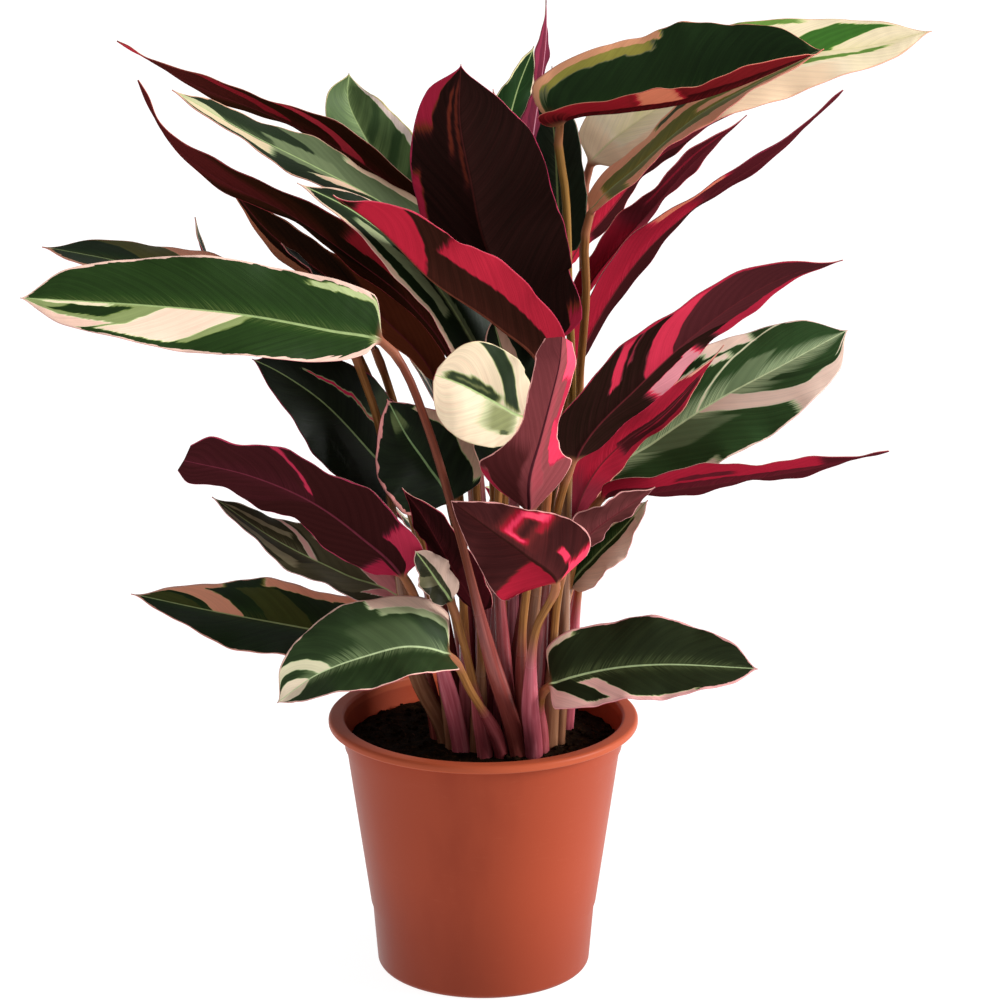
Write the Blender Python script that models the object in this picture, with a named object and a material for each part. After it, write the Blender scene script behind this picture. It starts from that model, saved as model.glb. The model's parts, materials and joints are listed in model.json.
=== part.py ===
"""Potted stromanthe: a plastic nursery pot, its soil and the plant's leaves.

The model is in metres with +Z up, and its origin is the centre of the pot's flat underside.
"""

import math
from dataclasses import dataclass

import bmesh
import bpy
from mathutils import Matrix, Vector

MM = 0.001
CLEARANCE = 0.3
WELD = 0.001
SHARP_ANGLE = 35.0

# The pot, in millimetres
POT_HEIGHT = 145.0
LIP_RADIUS = 85.0
LIP_DEPTH = 4.5
WALL = 1.8
LIP_ROUND = 1.2
LIP_TURN = 2.0
WALL_TOP_RADIUS = 78.0
STEP_DROP = 14.0
STEP_WIDTH = 0.9
STEP_SLOPE = 1.0
FOOT_HEIGHT = 36.0
FOOT_TOP_RADIUS = 61.5
FOOT_RADIUS = 58.5
FOOT_ROUND = 3.0
FLOOR = 2.5
FLOOR_RADIUS = 55.7
POT_SIDES = 40
DRAIN_RADIUS = 4.5
DRAIN_RING = 42.0
DRAIN_COUNT = 8
DRAIN_SIDES = 8

# The soil, in millimetres
SOIL_DROP = 12.0
SOIL_TOP = POT_HEIGHT - SOIL_DROP
SOIL_CROWN = 3.0
SOIL_SLOPE = 20.0
HOLE_DEPTH = 24.0
HOLE_SIDES = 6
CUT_PAST = 5.0

# The crown, where the leaf sheaths stand side by side, in millimetres
CROWN_ACROSS = 10.0
CROWN_ALONG = -4.0
SEAT_SPACING = 8.8
ROW_SPACING = SEAT_SPACING * math.sqrt(0.75)
SHEATH_RADIUS = 3.3
STALK_RADIUS = 2.2
STRAIGHT = 2.0

# The blades, in millimetres
BLADE_THICK = 0.95
MARGIN_THICK = 0.65
RIB_THICK = 2.2
BROAD = 50.0
FLAT_UNDER = 8.0
WAVE_OFFSET = 2.1
CARRY_STEP = 4.0
WIDEST_MITRE = 0.5

# The viewer: leaves are laid out on sight lines through a square frame of 1000 by 1000 steps
FRAME = 1000.0
FRAME_REACH = 4238.0
VIEWER_ASIDE = 9.2
VIEWER_BACK = 2200.0
VIEWER_HEIGHT = 915.0
VIEWER_PITCH = math.radians(16.4)

# Stations along a blade, closer together where its outline turns quickly
BROAD_STATIONS = (0.0, 0.02, 0.07, 0.15, 0.26, 0.38, 0.5, 0.62, 0.74, 0.85, 0.94, 1.0)
SLIM_STATIONS = (0.0, 0.03, 0.1, 0.2, 0.32, 0.45, 0.58, 0.7, 0.81, 0.91, 1.0)
NECK = 0.045
DRIP_TIP = 0.12
LOBE_REACH = 0.2
STALK_SPANS = 4
ROUTE_STEPS = 12


@dataclass(frozen=True)
class Leaf:
    """One leaf: where its stalk stands, the sight points it follows and how its blade is turned."""

    name: str
    seat: tuple
    stalk: tuple
    rib: tuple
    width: float
    turn: float
    fold: tuple = (8.0, 8.0)
    wave: float = 2.0
    waves: float = 2.5
    lead: tuple = (0.0, 0.0, 1.0)
    taper: float = 0.95
    widest: float = 0.42
    blunt: tuple = (2.6, 2.6)
    skew: float = 0.0
    lobe: float = 0.0
    outline: tuple = ()
    tone: str = ""


TONES = {
    "green": (0.03, 0.09, 0.03),
    "maroon": (0.07, 0.012, 0.012),
    "crimson": (0.40, 0.01, 0.04),
    "cream": (0.86, 0.66, 0.40),
}

RIGHT = (1.0, 0.0, 0.0)
LEFT = (-1.0, 0.0, 0.0)

# Sight points are (across, down, millimetres behind the pot's axis), from the soil up and from base to tip
LEAVES = (
    Leaf("leaf_01_long_front_left", (1, -4),
         ((490, 655, -56), (466, 560, -74), (450, 500, -80), (427, 425, -82), (402, 365, -82)),
         ((382, 342, -82), (330, 331, -88), (249, 316, -95), (150, 306, -102), (20, 298, -109)),
         54, 20, fold=(12, 16), wave=2.5, taper=0.52, widest=0.46, blunt=(4.5, 1.9), skew=0.03),
    Leaf("leaf_02_behind_long_left", (-4, -1),
         ((415, 670, -26), (403, 590, -34), (393, 520, -37), (386, 460, -39), (376, 414, -39),
          (364, 380, -37)),
         ((348, 345, -32), (290, 315, -22), (205, 283, -12), (120, 262, 0), (42, 247, 12)),
         50, 62, taper=0.9, widest=0.64),
    Leaf("leaf_03_small_left_tip", (-3, 2), (),
         ((345, 335, 46), (280, 308, 56), (228, 282, 66), (203, 252, 73), (195, 217, 78)), 30, 92),
    Leaf("leaf_04_upper_left_underside", (-1, 2), (),
         ((440, 236, 34), (400, 190, 40), (343, 149, 46), (270, 114, 53), (190, 82, 61), (117, 41, 70)),
         46, 107,
         outline=((0.0, 0.2), (0.06, 0.67), (0.18, 0.92), (0.38, 1.0), (0.55, 0.89), (0.7, 0.63), (0.8, 0.4),
                  (0.88, 0.2), (0.92, 0.1), (0.96, 0.16), (1.0, 0.03))),
    Leaf("leaf_05_upper_left_top", (-1, 1), (),
         ((440, 246, 8), (388, 207, 4), (320, 170, 0), (245, 132, -4), (172, 90, -8)), 46, 64, taper=0.8),
    Leaf("leaf_06_tall_centre", (0, -1), (),
         ((548, 350, -28), (512, 300, -31), (484, 240, -35), (471, 180, -40), (460, 120, -44),
          (461, 64, -48)), 84, 158, fold=(21, 22), lead=RIGHT, wave=3.0, taper=0.65, widest=0.52),
    Leaf("leaf_07_folded_over_centre", (1, -2), (),
         ((545, 374, -58), (497, 325, -64), (432, 280, -70), (380, 229, -76), (333, 195, -82)),
         56, 132, fold=(70, 42), tone="crimson"),
    Leaf("leaf_08_under_folded", (-1, -1), (),
         ((492, 392, -40), (462, 325, -44), (418, 264, -48), (354, 212, -52), (297, 183, -54)), 38, 40),
    Leaf("leaf_09_long_left_underside", (-1, 0), (),
         ((458, 372, -2), (412, 303, 2), (350, 254, 6), (290, 213, 12), (217, 177, 18), (168, 138, 23),
          (138, 80, 28)), 50, 109,
         outline=((0.0, 0.2), (0.06, 0.65), (0.18, 0.9), (0.42, 1.0), (0.55, 0.92), (0.72, 0.62), (0.84, 0.3),
                  (0.9, 0.15), (0.955, 0.2), (1.0, 0.04))),
    Leaf("leaf_10_narrow_left", (-2, 2), (),
         ((440, 385, 36), (390, 322, 46), (330, 277, 54), (268, 230, 60), (223, 176, 64)), 44, 122),
    Leaf("leaf_11_dark_left_tip", (-3, 1), (),
         ((375, 350, 12), (340, 305, 12), (310, 272, 13), (281, 243, 15)), 32, 80),
    Leaf("leaf_12_dark_left_drooping", (-3, -2), (),
         ((408, 500, -14), (368, 450, -24), (322, 402, -34), (280, 373, -40), (252, 359, -44)),
         62, 35, taper=0.8),
    Leaf("leaf_13_crimson_left", (-3, 0), (),
         ((400, 480, 6), (370, 430, 6), (345, 395, 5), (315, 365, 4)), 44, 150, tone="crimson"),
    Leaf("leaf_14_dark_front_left", (-2, -2), (),
         ((450, 503, -40), (427, 465, -44), (406, 435, -48), (387, 399, -52)), 56, 12, blunt=(3.0, 3.0)),
    Leaf("leaf_15_maroon_lower_left", (-3, -3), (),
         ((404, 577, -62), (360, 535, -66), (310, 500, -70), (250, 475, -76), (184, 460, -84)),
         50, 133, wave=3.0, waves=2.8,
         outline=((0.0, 0.3), (0.06, 0.78), (0.18, 0.97), (0.42, 1.0), (0.7, 0.9), (0.85, 0.8), (0.94, 0.82),
                  (1.0, 0.45))),
    Leaf("leaf_16_rolled_lower_left", (-4, 0), (),
         ((400, 600, -4), (345, 575, -6), (275, 540, -10), (212, 497, -14)), 44, 55),
    Leaf("leaf_17_low_left", (-4, 1), (),
         ((388, 645, 4), (312, 630, 10), (215, 612, 18), (131, 594, 26)), 58, 45, widest=0.45, taper=1.1),
    Leaf("leaf_18_low_front_left", (0, -4), ((470, 690, -60),),
         ((449, 656, -74), (410, 647, -84), (368, 656, -94), (317, 675, -105), (277, 703, -114)),
         62, 28, fold=(8, 30), taper=0.7, blunt=(4.5, 2.4), lobe=5.0),
    Leaf("leaf_19_low_right", (2, -3), ((540, 705, -36),),
         ((550, 686, -52), (600, 671, -54), (660, 665, -57), (758, 669, -62)), 56, 38, taper=0.65,
         blunt=(3.6, 3.6), skew=0.08, lobe=4.0),
    Leaf("leaf_20_curled_front", (2, -4), ((530, 700, -54), (536, 630, -78)),
         ((556, 582, -92), (525, 554, -106), (490, 529, -114), (451, 501, -120)), 58, 165,
         outline=((0.0, 0.55), (0.08, 0.92), (0.2, 1.0), (0.4, 0.86), (0.6, 0.64), (0.8, 0.36), (0.93, 0.14),
                  (1.0, 0.0)),
         tone="crimson"),
    Leaf("leaf_21_pointing_up_front", (1, -3), ((522, 640, -46), (530, 560, -62)),
         ((530, 512, -84), (530, 478, -102), (541, 438, -120), (551, 400, -130), (560, 362, -134),
          (562, 337, -126)),
         62, 165, fold=(5, 70), lead=RIGHT, wave=2.0,
         outline=((0.0, 0.25), (0.07, 0.8), (0.16, 1.0), (0.28, 0.72), (0.42, 0.48), (0.6, 0.4),
                  (0.8, 0.42), (0.93, 0.44), (1.0, 0.3)),
         tone="crimson"),
    Leaf("leaf_22_maroon_front_low", (-2, -3), (),
         ((478, 612, -48), (456, 572, -54), (437, 538, -60), (420, 510, -63), (402, 488, -66)), 34, 128),
    Leaf("leaf_23_large_right_underside", (2, -2), (),
         ((572, 463, -38), (640, 383, -46), (722, 312, -54), (780, 278, -58), (843, 260, -62)), 64, 118,
         blunt=(3.2, 3.2)),
    Leaf("leaf_24_narrow_right", (2, 0), (),
         ((570, 525, 2), (592, 474, 6), (622, 442, 10), (660, 415, 14), (697, 377, 18), (724, 345, 22)),
         42, 125, taper=1.5, widest=0.3, tone="crimson"),
    Leaf("leaf_25_broad_right_top", (4, 2), (),
         ((606, 480, 34), (655, 442, 42), (715, 402, 50), (778, 368, 58), (848, 330, 70)),
         70, 30, taper=0.55, widest=0.5, skew=-0.1),
    Leaf("leaf_26_level_right", (3, 0), (),
         ((600, 500, -6), (660, 490, -9), (720, 482, -12), (800, 470, -16), (889, 451, -22)),
         44, 107, tone="crimson",
         outline=((0.0, 0.2), (0.06, 0.65), (0.18, 0.9), (0.42, 1.0), (0.55, 0.91), (0.7, 0.62), (0.82, 0.32),
                  (0.9, 0.13), (0.955, 0.15), (1.0, 0.04))),
    Leaf("leaf_27_short_right_underside", (3, -2), (),
         ((566, 562, -34), (590, 532, -34), (622, 509, -33), (655, 487, -31)), 36, 116),
    Leaf("leaf_28_short_right_top", (3, 1), (),
         ((570, 588, 1), (594, 558, 0), (622, 530, -1), (648, 500, -2)), 34, 42),
    Leaf("leaf_29_rear_left_top", (-1, 3), ((452, 330, 62),),
         ((428, 230, 82), (392, 180, 92), (362, 132, 100), (348, 100, 106), (349, 73, 110)),
         46, 25, fold=(30, 8), taper=0.6, widest=0.5),
    Leaf("leaf_30_top_spire", (0, 1), (),
         ((524, 190, 20), (532, 130, 20), (540, 80, 19), (545, 40, 18), (546, 0, 16)),
         26, 105, lead=LEFT, tone="crimson"),
    Leaf("leaf_31_top_tip", (0, 2), (),
         ((500, 190, 52), (505, 140, 54), (517, 90, 56), (534, 46, 58)), 32, 40, lead=RIGHT),
    Leaf("leaf_32_top_right", (3, -1),
         ((561, 690, -11), (563, 600, -12), (568, 480, -13), (572, 390, -14), (569, 300, -14),
          (566, 200, -13)),
         ((560, 123, -12), (578, 115, -12), (620, 111, -14), (680, 103, -16), (740, 85, -20), (824, 49, -26)),
         84, 62, fold=(45, 40), taper=0.7, widest=0.48, lobe=24.0),
    Leaf("leaf_33_cream_top_right", (3, 2),
         ((576, 560, 44), (582, 480, 52), (580, 390, 56), (583, 300, 58), (584, 215, 58)),
         ((590, 166, 58), (640, 120, 64), (720, 80, 72), (800, 56, 80), (870, 46, 85), (932, 31, 90)),
         60, 40, taper=0.7, widest=0.42, tone="cream"),
    Leaf("leaf_34_striped_right", (2, 1), ((574, 520, 24), (578, 400, 9), (586, 300, -3)),
         ((590, 215, 3), (640, 165, 7), (700, 115, 8), (760, 82, 8), (816, 54, 6)), 44, 70),
    Leaf("leaf_35_rear_right_crimson", (1, 3), (),
         ((566, 268, 74), (604, 215, 82), (650, 162, 92), (695, 131, 99), (738, 111, 104)),
         38, 115, taper=1.4, widest=0.32, tone="crimson"),
    Leaf("leaf_36_mid_right_crimson", (2, 2), ((563, 440, 27),),
         ((580, 300, 33), (617, 246, 32), (652, 207, 32), (692, 163, 31), (747, 115, 31)),
         36, 112, widest=0.32, tone="crimson"),
    Leaf("leaf_37_long_right_crimson", (1, 1), (),
         ((574, 372, 24), (598, 316, 22), (646, 249, 18), (708, 196, 14), (781, 147, 10), (843, 90, 6)),
         38, 110, tone="crimson",
         outline=((0.0, 0.2), (0.06, 0.7), (0.15, 0.93), (0.3, 1.0), (0.45, 0.9), (0.6, 0.66), (0.75, 0.34),
                  (0.85, 0.2), (0.93, 0.16), (0.975, 0.14), (1.0, 0.03))),
    Leaf("leaf_38_cream_facing_front", (0, -3), ((497, 520, -50), (505, 460, -56)),
         ((530, 424, -66), (511, 412, -80), (487, 398, -94), (460, 384, -105), (435, 375, -113)),
         52, 8, fold=(14, 10), tone="cream",
         outline=((0.0, 0.3), (0.2, 0.64), (0.4, 0.88), (0.6, 1.0), (0.78, 0.97), (0.9, 0.78), (0.97, 0.44),
                  (1.0, 0.14))),
    Leaf("leaf_39_behind_cream", (0, -2), (),
         ((505, 470, -44), (507, 420, -48), (505, 370, -52), (492, 315, -56)), 46, 30, lead=RIGHT),
    Leaf("leaf_40_rear_middle", (0, 4), (),
         ((490, 420, 68), (485, 350, 92), (478, 300, 124), (470, 270, 162)), 58, 75),
    Leaf("leaf_41_rear_left", (-2, 3), (),
         ((440, 410, 70), (405, 340, 96), (372, 295, 124), (345, 265, 152)), 54, 80),
    Leaf("leaf_42_rear_right", (2, 3), (),
         ((560, 480, 68), (610, 450, 96), (660, 430, 122), (700, 415, 145)), 52, 80),
    Leaf("leaf_43_rear_high", (0, 3), ((515, 420, 46),),
         ((500, 300, 74), (500, 220, 84), (500, 150, 94), (493, 89, 106)), 54, 40),
    Leaf("leaf_44_rear_low_left", (-2, 4), (),
         ((440, 560, 60), (415, 530, 90), (390, 510, 125)), 48, 80),
    Leaf("leaf_45_rear_low_right", (2, 4), (),
         ((555, 600, 55), (575, 570, 85), (600, 545, 115), (620, 530, 140)), 48, 80),
    Leaf("leaf_46_rear_low", (0, 5), (),
         ((500, 560, 62), (498, 540, 100), (495, 520, 140), (492, 515, 172)), 54, 80),
    Leaf("leaf_47_rear_arching", (1, 5), (),
         ((545, 430, 76), (555, 390, 110), (565, 360, 148), (575, 350, 186)), 58, 75),
    Leaf("leaf_48_rear_tip", (1, 2), ((541, 430, 32),),
         ((560, 255, 38), (558, 200, 37), (555, 140, 37), (551, 100, 39), (552, 66, 42)),
         36, -25, lead=RIGHT),
    Leaf("leaf_49_small_front_left", (-1, -4), (),
         ((450, 601, -65), (438, 583, -67), (427, 567, -71), (415, 551, -75)), 22, 30, taper=0.7),
)


def sight_point(across, down, depth):
    """Return the point, in millimetres, that lies on a sight line at a depth behind the pot's axis."""
    ahead = Vector((0.0, math.cos(VIEWER_PITCH), -math.sin(VIEWER_PITCH)))
    upward = Vector((0.0, math.sin(VIEWER_PITCH), math.cos(VIEWER_PITCH)))
    ray = ahead * FRAME_REACH + Vector(RIGHT) * (across - FRAME / 2) + upward * (FRAME / 2 - down)
    viewer = Vector((VIEWER_ASIDE, -VIEWER_BACK, VIEWER_HEIGHT))
    return viewer + ray * ((depth + VIEWER_BACK) / ray.y)


def seat_point(seat):
    """Return the place of a crown seat on the soil; seats stand in staggered rows."""
    column, row = seat
    stagger = 0.5 * (row % 2)
    across = CROWN_ACROSS + SEAT_SPACING * (column + stagger)
    along = CROWN_ALONG + ROW_SPACING * row
    return Vector((across, along, 0.0))


def between(start, end, low, high, at):
    """Return the point between two points whose parameters are low and high."""
    return start + (end - start) * ((at - low) / (high - low))


def smooth_route(points):
    """Return many points on a centripetal Catmull-Rom curve through the given ones."""
    line = [points[0] * 2 - points[1], *points, points[-1] * 2 - points[-2]]
    route = []
    for a, b, c, d in zip(line, line[1:], line[2:], line[3:]):
        knots = [0.0]
        for start, end in ((a, b), (b, c), (c, d)):
            knots.append(knots[-1] + math.sqrt((end - start).length))
        ta, tb, tc, td = knots
        for step in range(ROUTE_STEPS):
            at = tb + (tc - tb) * step / ROUTE_STEPS
            ab, bc, cd = between(a, b, ta, tb, at), between(b, c, tb, tc, at), between(c, d, tc, td, at)
            route.append(between(between(ab, bc, ta, tc, at), between(bc, cd, tb, td, at), tb, tc, at))
    return route + [points[-1].copy()]


def walk(route, distances):
    """Return the point and the unit tangent at each distance along a route."""
    lengths = [0.0]
    for a, b in zip(route, route[1:]):
        lengths.append(lengths[-1] + (b - a).length)
    found = []
    for distance in distances:
        index = 0
        while index < len(route) - 2 and lengths[index + 1] < distance:
            index += 1
        span = lengths[index + 1] - lengths[index]
        share = min(max((distance - lengths[index]) / span, 0.0), 1.0)
        behind = route[index] - route[max(index - 1, 0)]
        here = route[index + 1] - route[index]
        beyond = route[min(index + 2, len(route) - 1)] - route[index + 1]
        tangent = behind.lerp(here, 0.5 + share / 2) if share < 0.5 else here.lerp(beyond, share - 0.5)
        found.append((route[index].lerp(route[index + 1], share), tangent.normalized()))
    return found


def leaf_course(leaf):
    """Return the route of the whole leaf above the soil, its full length and the length of its stalk."""
    foot = seat_point(leaf.seat) + Vector((0.0, 0.0, SOIL_TOP + STRAIGHT))
    below = foot - Vector((0.0, 0.0, 2 * HOLE_DEPTH))
    stalk = [sight_point(*spot) for spot in leaf.stalk]
    rib = [sight_point(*spot) for spot in leaf.rib]
    route = smooth_route([below, foot, *stalk, *rib])
    route = route[ROUTE_STEPS:]
    base = ROUTE_STEPS * (1 + len(stalk))
    lengths = [(b - a).length for a, b in zip(route, route[1:])]
    return route, sum(lengths), sum(lengths[:base])


def blade_frames(leaf, stations):
    """Return point, tangent, top normal and cross direction at each station; stations are distances."""
    route, total, stalk_length = leaf_course(leaf)
    places = walk(route, stations)
    middle_at = stalk_length + 0.5 * (total - stalk_length)
    middle, tangent = walk(route, [middle_at])[0]
    sight = (Vector((VIEWER_ASIDE, -VIEWER_BACK, VIEWER_HEIGHT)) - middle).normalized()
    facing = (sight - tangent * sight.dot(tangent)).normalized()
    aside = tangent.cross(facing)
    if aside.dot(Vector(leaf.lead)) < 0:
        aside.negate()
    turn = math.radians(leaf.turn)
    normal = facing * math.cos(turn) + aside * math.sin(turn)
    hand = 1.0 if (aside * math.cos(turn) - facing * math.sin(turn)).dot(tangent.cross(normal)) > 0 else -1.0
    normals = carried_normals(route, places, stations, middle_at, normal)
    frames = []
    for (point, tangent), normal in zip(places, normals):
        frames.append((point, tangent, normal, tangent.cross(normal) * hand))
    return frames


def carried_normals(route, places, stations, middle_at, normal):
    """Carry the normal at the middle of the blade along the route, without turning about it."""
    order = sorted(range(len(stations)), key=lambda index: abs(stations[index] - middle_at))
    carried = {}
    for direction in (1, -1):
        current = normal.copy()
        ordered = [index for index in order if (stations[index] - middle_at) * direction >= 0]
        reached = middle_at
        for index in ordered:
            hops = max(int(abs(stations[index] - reached) / CARRY_STEP), 1)
            spots = [reached + (stations[index] - reached) * (hop + 1) / hops for hop in range(hops)]
            for _, tangent in walk(route, spots):
                current = (current - tangent * current.dot(tangent)).normalized()
            reached = stations[index]
            carried[index] = current.copy()
    return [carried[index] for index in range(len(stations))]


def outline_share(outline, along):
    """Return the share of the full half width at a place along a blade, from (along, share) pairs."""
    for (low, first), (high, second) in zip(outline, outline[1:]):
        if along <= high:
            return first + (second - first) * (along - low) / (high - low)
    return outline[-1][1]


def half_width(leaf, along, half):
    """Return the width of one half of the blade: a blunt base, widest before the middle, and a drip tip."""
    if leaf.outline:
        share = outline_share(leaf.outline, along)
    elif along <= leaf.widest:
        blunt = leaf.blunt[half]
        share = max(1.0 - (1.0 - along / leaf.widest) ** blunt, 0.0) ** (1.0 / blunt)
    else:
        share = max(math.cos(math.pi / 2 * (along - leaf.widest) / (1.0 - leaf.widest)), 0.0) ** leaf.taper
        tip = min((1.0 - along) / DRIP_TIP, 1.0)
        share *= tip * (2.0 - tip)
    skew = 1.0 - leaf.skew if half else 1.0 + leaf.skew
    return max(leaf.width / 2 * skew * share, MARGIN_THICK)


def blade_point(leaf, frame, along, side):
    """Return the blade's mid-surface point and thickness direction; side runs from -1 to 1 across it."""
    point, tangent, normal, cross = frame
    half = 0 if side >= 0 else 1
    width = half_width(leaf, along, half)
    opened = min(width / FLAT_UNDER, 1.0)
    fold = math.radians(leaf.fold[half]) * opened
    reach = abs(side)
    phase = math.tau * leaf.waves * along + WAVE_OFFSET * half
    ripple = leaf.wave * math.sin(phase) * math.sin(math.pi * along) * reach ** 2
    rise = reach * width * math.sin(fold) + ripple
    drawn_back = leaf.lobe * reach ** 2 * max(1.0 - along / LOBE_REACH, 0.0) ** 2
    spot = point + cross * (side * width * math.cos(fold)) + normal * rise - tangent * drawn_back
    if side == 0:
        return spot, crease_direction(leaf, opened, normal, cross)
    hand = 1.0 if side > 0 else -1.0
    return spot, normal * math.cos(fold) - cross * (hand * math.sin(fold))


def crease_direction(leaf, opened, normal, cross):
    """Return the thickness direction at the midrib, between the two halves and mitred to meet both."""
    upper, lower = (math.radians(angle) * opened for angle in leaf.fold)
    lean = (upper - lower) / 2
    opening = (upper + lower) / 2
    return (normal * math.cos(lean) - cross * math.sin(lean)) / max(math.cos(opening), WIDEST_MITRE)


def ring(leaf, frame, along, radius, columns):
    """Return the points round the leaf at a station, top side first: a round stalk that flattens out."""
    count = 2 * columns
    share = min(max(along / NECK, 0.0), 1.0)
    share = share * share * (3 - 2 * share)
    point, _, normal, cross = frame
    points = []
    for index in range(count):
        top = index < columns
        column = index if top else count - 1 - index
        side = -1.0 + 2.0 * column / (columns - 1)
        angle = math.pi * (1.0 - (index + 0.5) / columns)
        round_spot = point + cross * (math.cos(angle) * radius) + normal * (math.sin(angle) * radius)
        flat_spot, facing = blade_point(leaf, frame, max(along, NECK / 4), side)
        centre = 1.0 - abs(side)
        thick = MARGIN_THICK + (BLADE_THICK - MARGIN_THICK) * centre
        if not top and centre == 1.0:
            thick += RIB_THICK * (1.0 - along)
        flat_spot = flat_spot + facing * (thick / 2 if top else -thick / 2)
        points.append(round_spot.lerp(flat_spot, share))
    return points


def leaf_rings(leaf):
    """Return every ring of points of the leaf, from the foot of its sheath to its tip."""
    columns = 5 if leaf.width >= BROAD else 3
    blade_stations = BROAD_STATIONS if columns == 5 else SLIM_STATIONS
    _, total, stalk_length = leaf_course(leaf)
    stations = [stalk_length * step / STALK_SPANS for step in range(STALK_SPANS)]
    stations += [stalk_length + (total - stalk_length) * along for along in blade_stations]
    frames = blade_frames(leaf, stations)
    foot = frames[0]
    level = level_frame(foot)
    rings = [ring(leaf, moved(level, -HOLE_DEPTH - STRAIGHT + CLEARANCE), 0.0, SHEATH_RADIUS, columns),
             ring(leaf, level, 0.0, SHEATH_RADIUS, columns)]
    for step in range(1, STALK_SPANS):
        radius = SHEATH_RADIUS + (STALK_RADIUS - SHEATH_RADIUS) * step / STALK_SPANS
        rings.append(ring(leaf, frames[step], 0.0, radius, columns))
    for frame, along in zip(frames[STALK_SPANS:], blade_stations):
        rings.append(ring(leaf, frame, along, STALK_RADIUS, columns))
    return rings


def level_frame(frame):
    """Return a frame at the same point that looks straight up, keeping its cross direction."""
    point, _, normal, cross = frame
    hand = 1.0 if frame[1].cross(normal).dot(cross) > 0 else -1.0
    upward = Vector((0.0, 0.0, 1.0))
    flat = Vector((normal.x, normal.y, 0.0)).normalized()
    return point, upward, flat, upward.cross(flat) * hand


def moved(frame, rise):
    """Return a frame moved straight up by a number of millimetres."""
    point, tangent, normal, cross = frame
    return point + Vector((0.0, 0.0, rise)), tangent, normal, cross


def build_leaf(leaf, material):
    """Build one leaf: a grid wrapped round its rings, closed at both ends, split alike on both faces."""
    rings = leaf_rings(leaf)
    around = len(rings[0])
    mesh = bpy.data.meshes.new(leaf.name)
    shape = bmesh.new()
    bmesh.ops.create_grid(shape, x_segments=around, y_segments=len(rings) - 1, size=1.0)
    shape.verts.ensure_lookup_table()
    for row, points in enumerate(rings):
        for index in range(around + 1):
            shape.verts[row * (around + 1) + index].co = points[index % around] * MM
    shape.faces.ensure_lookup_table()
    top = [face for index, face in enumerate(shape.faces) if index % around < around // 2]
    under = [face for index, face in enumerate(shape.faces) if index % around >= around // 2]
    bmesh.ops.triangulate(shape, faces=top, quad_method="FIXED")
    bmesh.ops.triangulate(shape, faces=under, quad_method="ALTERNATE")
    bmesh.ops.remove_doubles(shape, verts=shape.verts, dist=WELD * MM)
    ends = bmesh.ops.holes_fill(shape, edges=[edge for edge in shape.edges if edge.is_boundary], sides=0)
    bmesh.ops.triangulate(shape, faces=ends["faces"])
    bmesh.ops.recalc_face_normals(shape, faces=shape.faces)
    shape.to_mesh(mesh)
    shape.free()
    return add_object(leaf.name, mesh, material)


def add_object(name, mesh, material):
    """Link an object with one material and smooth shading."""
    mesh.materials.append(material)
    mesh.shade_smooth()
    mesh.set_sharp_from_angle(angle=math.radians(SHARP_ANGLE))
    thing = bpy.data.objects.new(name, mesh)
    bpy.context.scene.collection.objects.link(thing)
    return thing


def make_material(name, colour, roughness):
    """Return a plain Principled material."""
    material = bpy.data.materials.new(name)
    material.use_nodes = True
    shader = material.node_tree.nodes["Principled BSDF"]
    shader.inputs["Base Color"].default_value = (*colour, 1.0)
    shader.inputs["Roughness"].default_value = roughness
    shader.inputs["Metallic"].default_value = 0.0
    return material


def wall_radius(height):
    """Return the outer radius of the pot's wall at a height."""
    if height < FOOT_HEIGHT:
        return FOOT_RADIUS + (FOOT_TOP_RADIUS - FOOT_RADIUS) * height / FOOT_HEIGHT
    share = (height - FOOT_HEIGHT) / (POT_HEIGHT - LIP_DEPTH - FOOT_HEIGHT)
    return FOOT_TOP_RADIUS + STEP_WIDTH + (WALL_TOP_RADIUS - FOOT_TOP_RADIUS - STEP_WIDTH) * share


def inner_radius(height):
    """Return the inner radius of the pot's wall at a height: a straight taper from its floor to its mouth."""
    high = wall_radius(POT_HEIGHT - LIP_DEPTH) - WALL
    share = (height - FLOOR) / (POT_HEIGHT - LIP_TURN - FLOOR)
    return FLOOR_RADIUS + (high - FLOOR_RADIUS) * share


def pot_profile():
    """Return the pot's profile as (radius, height), from the middle of its underside to that of its floor."""
    step = POT_HEIGHT - LIP_DEPTH - STEP_DROP
    under_lip = POT_HEIGHT - LIP_DEPTH
    mouth = inner_radius(POT_HEIGHT - LIP_TURN)
    foot = [(0.0, 0.0), (FOOT_RADIUS - FOOT_ROUND, 0.0), (FOOT_RADIUS - 0.2 * FOOT_ROUND, 0.35 * FOOT_ROUND),
            (wall_radius(FOOT_ROUND), FOOT_ROUND), (FOOT_TOP_RADIUS, FOOT_HEIGHT)]
    wall = [(wall_radius(FOOT_HEIGHT), FOOT_HEIGHT + STEP_SLOPE), (wall_radius(step) - STEP_WIDTH, step),
            (wall_radius(step), step + STEP_SLOPE), (wall_radius(under_lip), under_lip)]
    lip = [(LIP_RADIUS - LIP_ROUND, under_lip), (LIP_RADIUS, under_lip + LIP_ROUND),
           (LIP_RADIUS, POT_HEIGHT - LIP_ROUND), (LIP_RADIUS - LIP_ROUND, POT_HEIGHT),
           (mouth + LIP_ROUND, POT_HEIGHT), (mouth, POT_HEIGHT - LIP_TURN)]
    inside = [(inner_radius(FLOOR), FLOOR), (0.0, FLOOR)]
    return foot + wall + lip + inside


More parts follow.
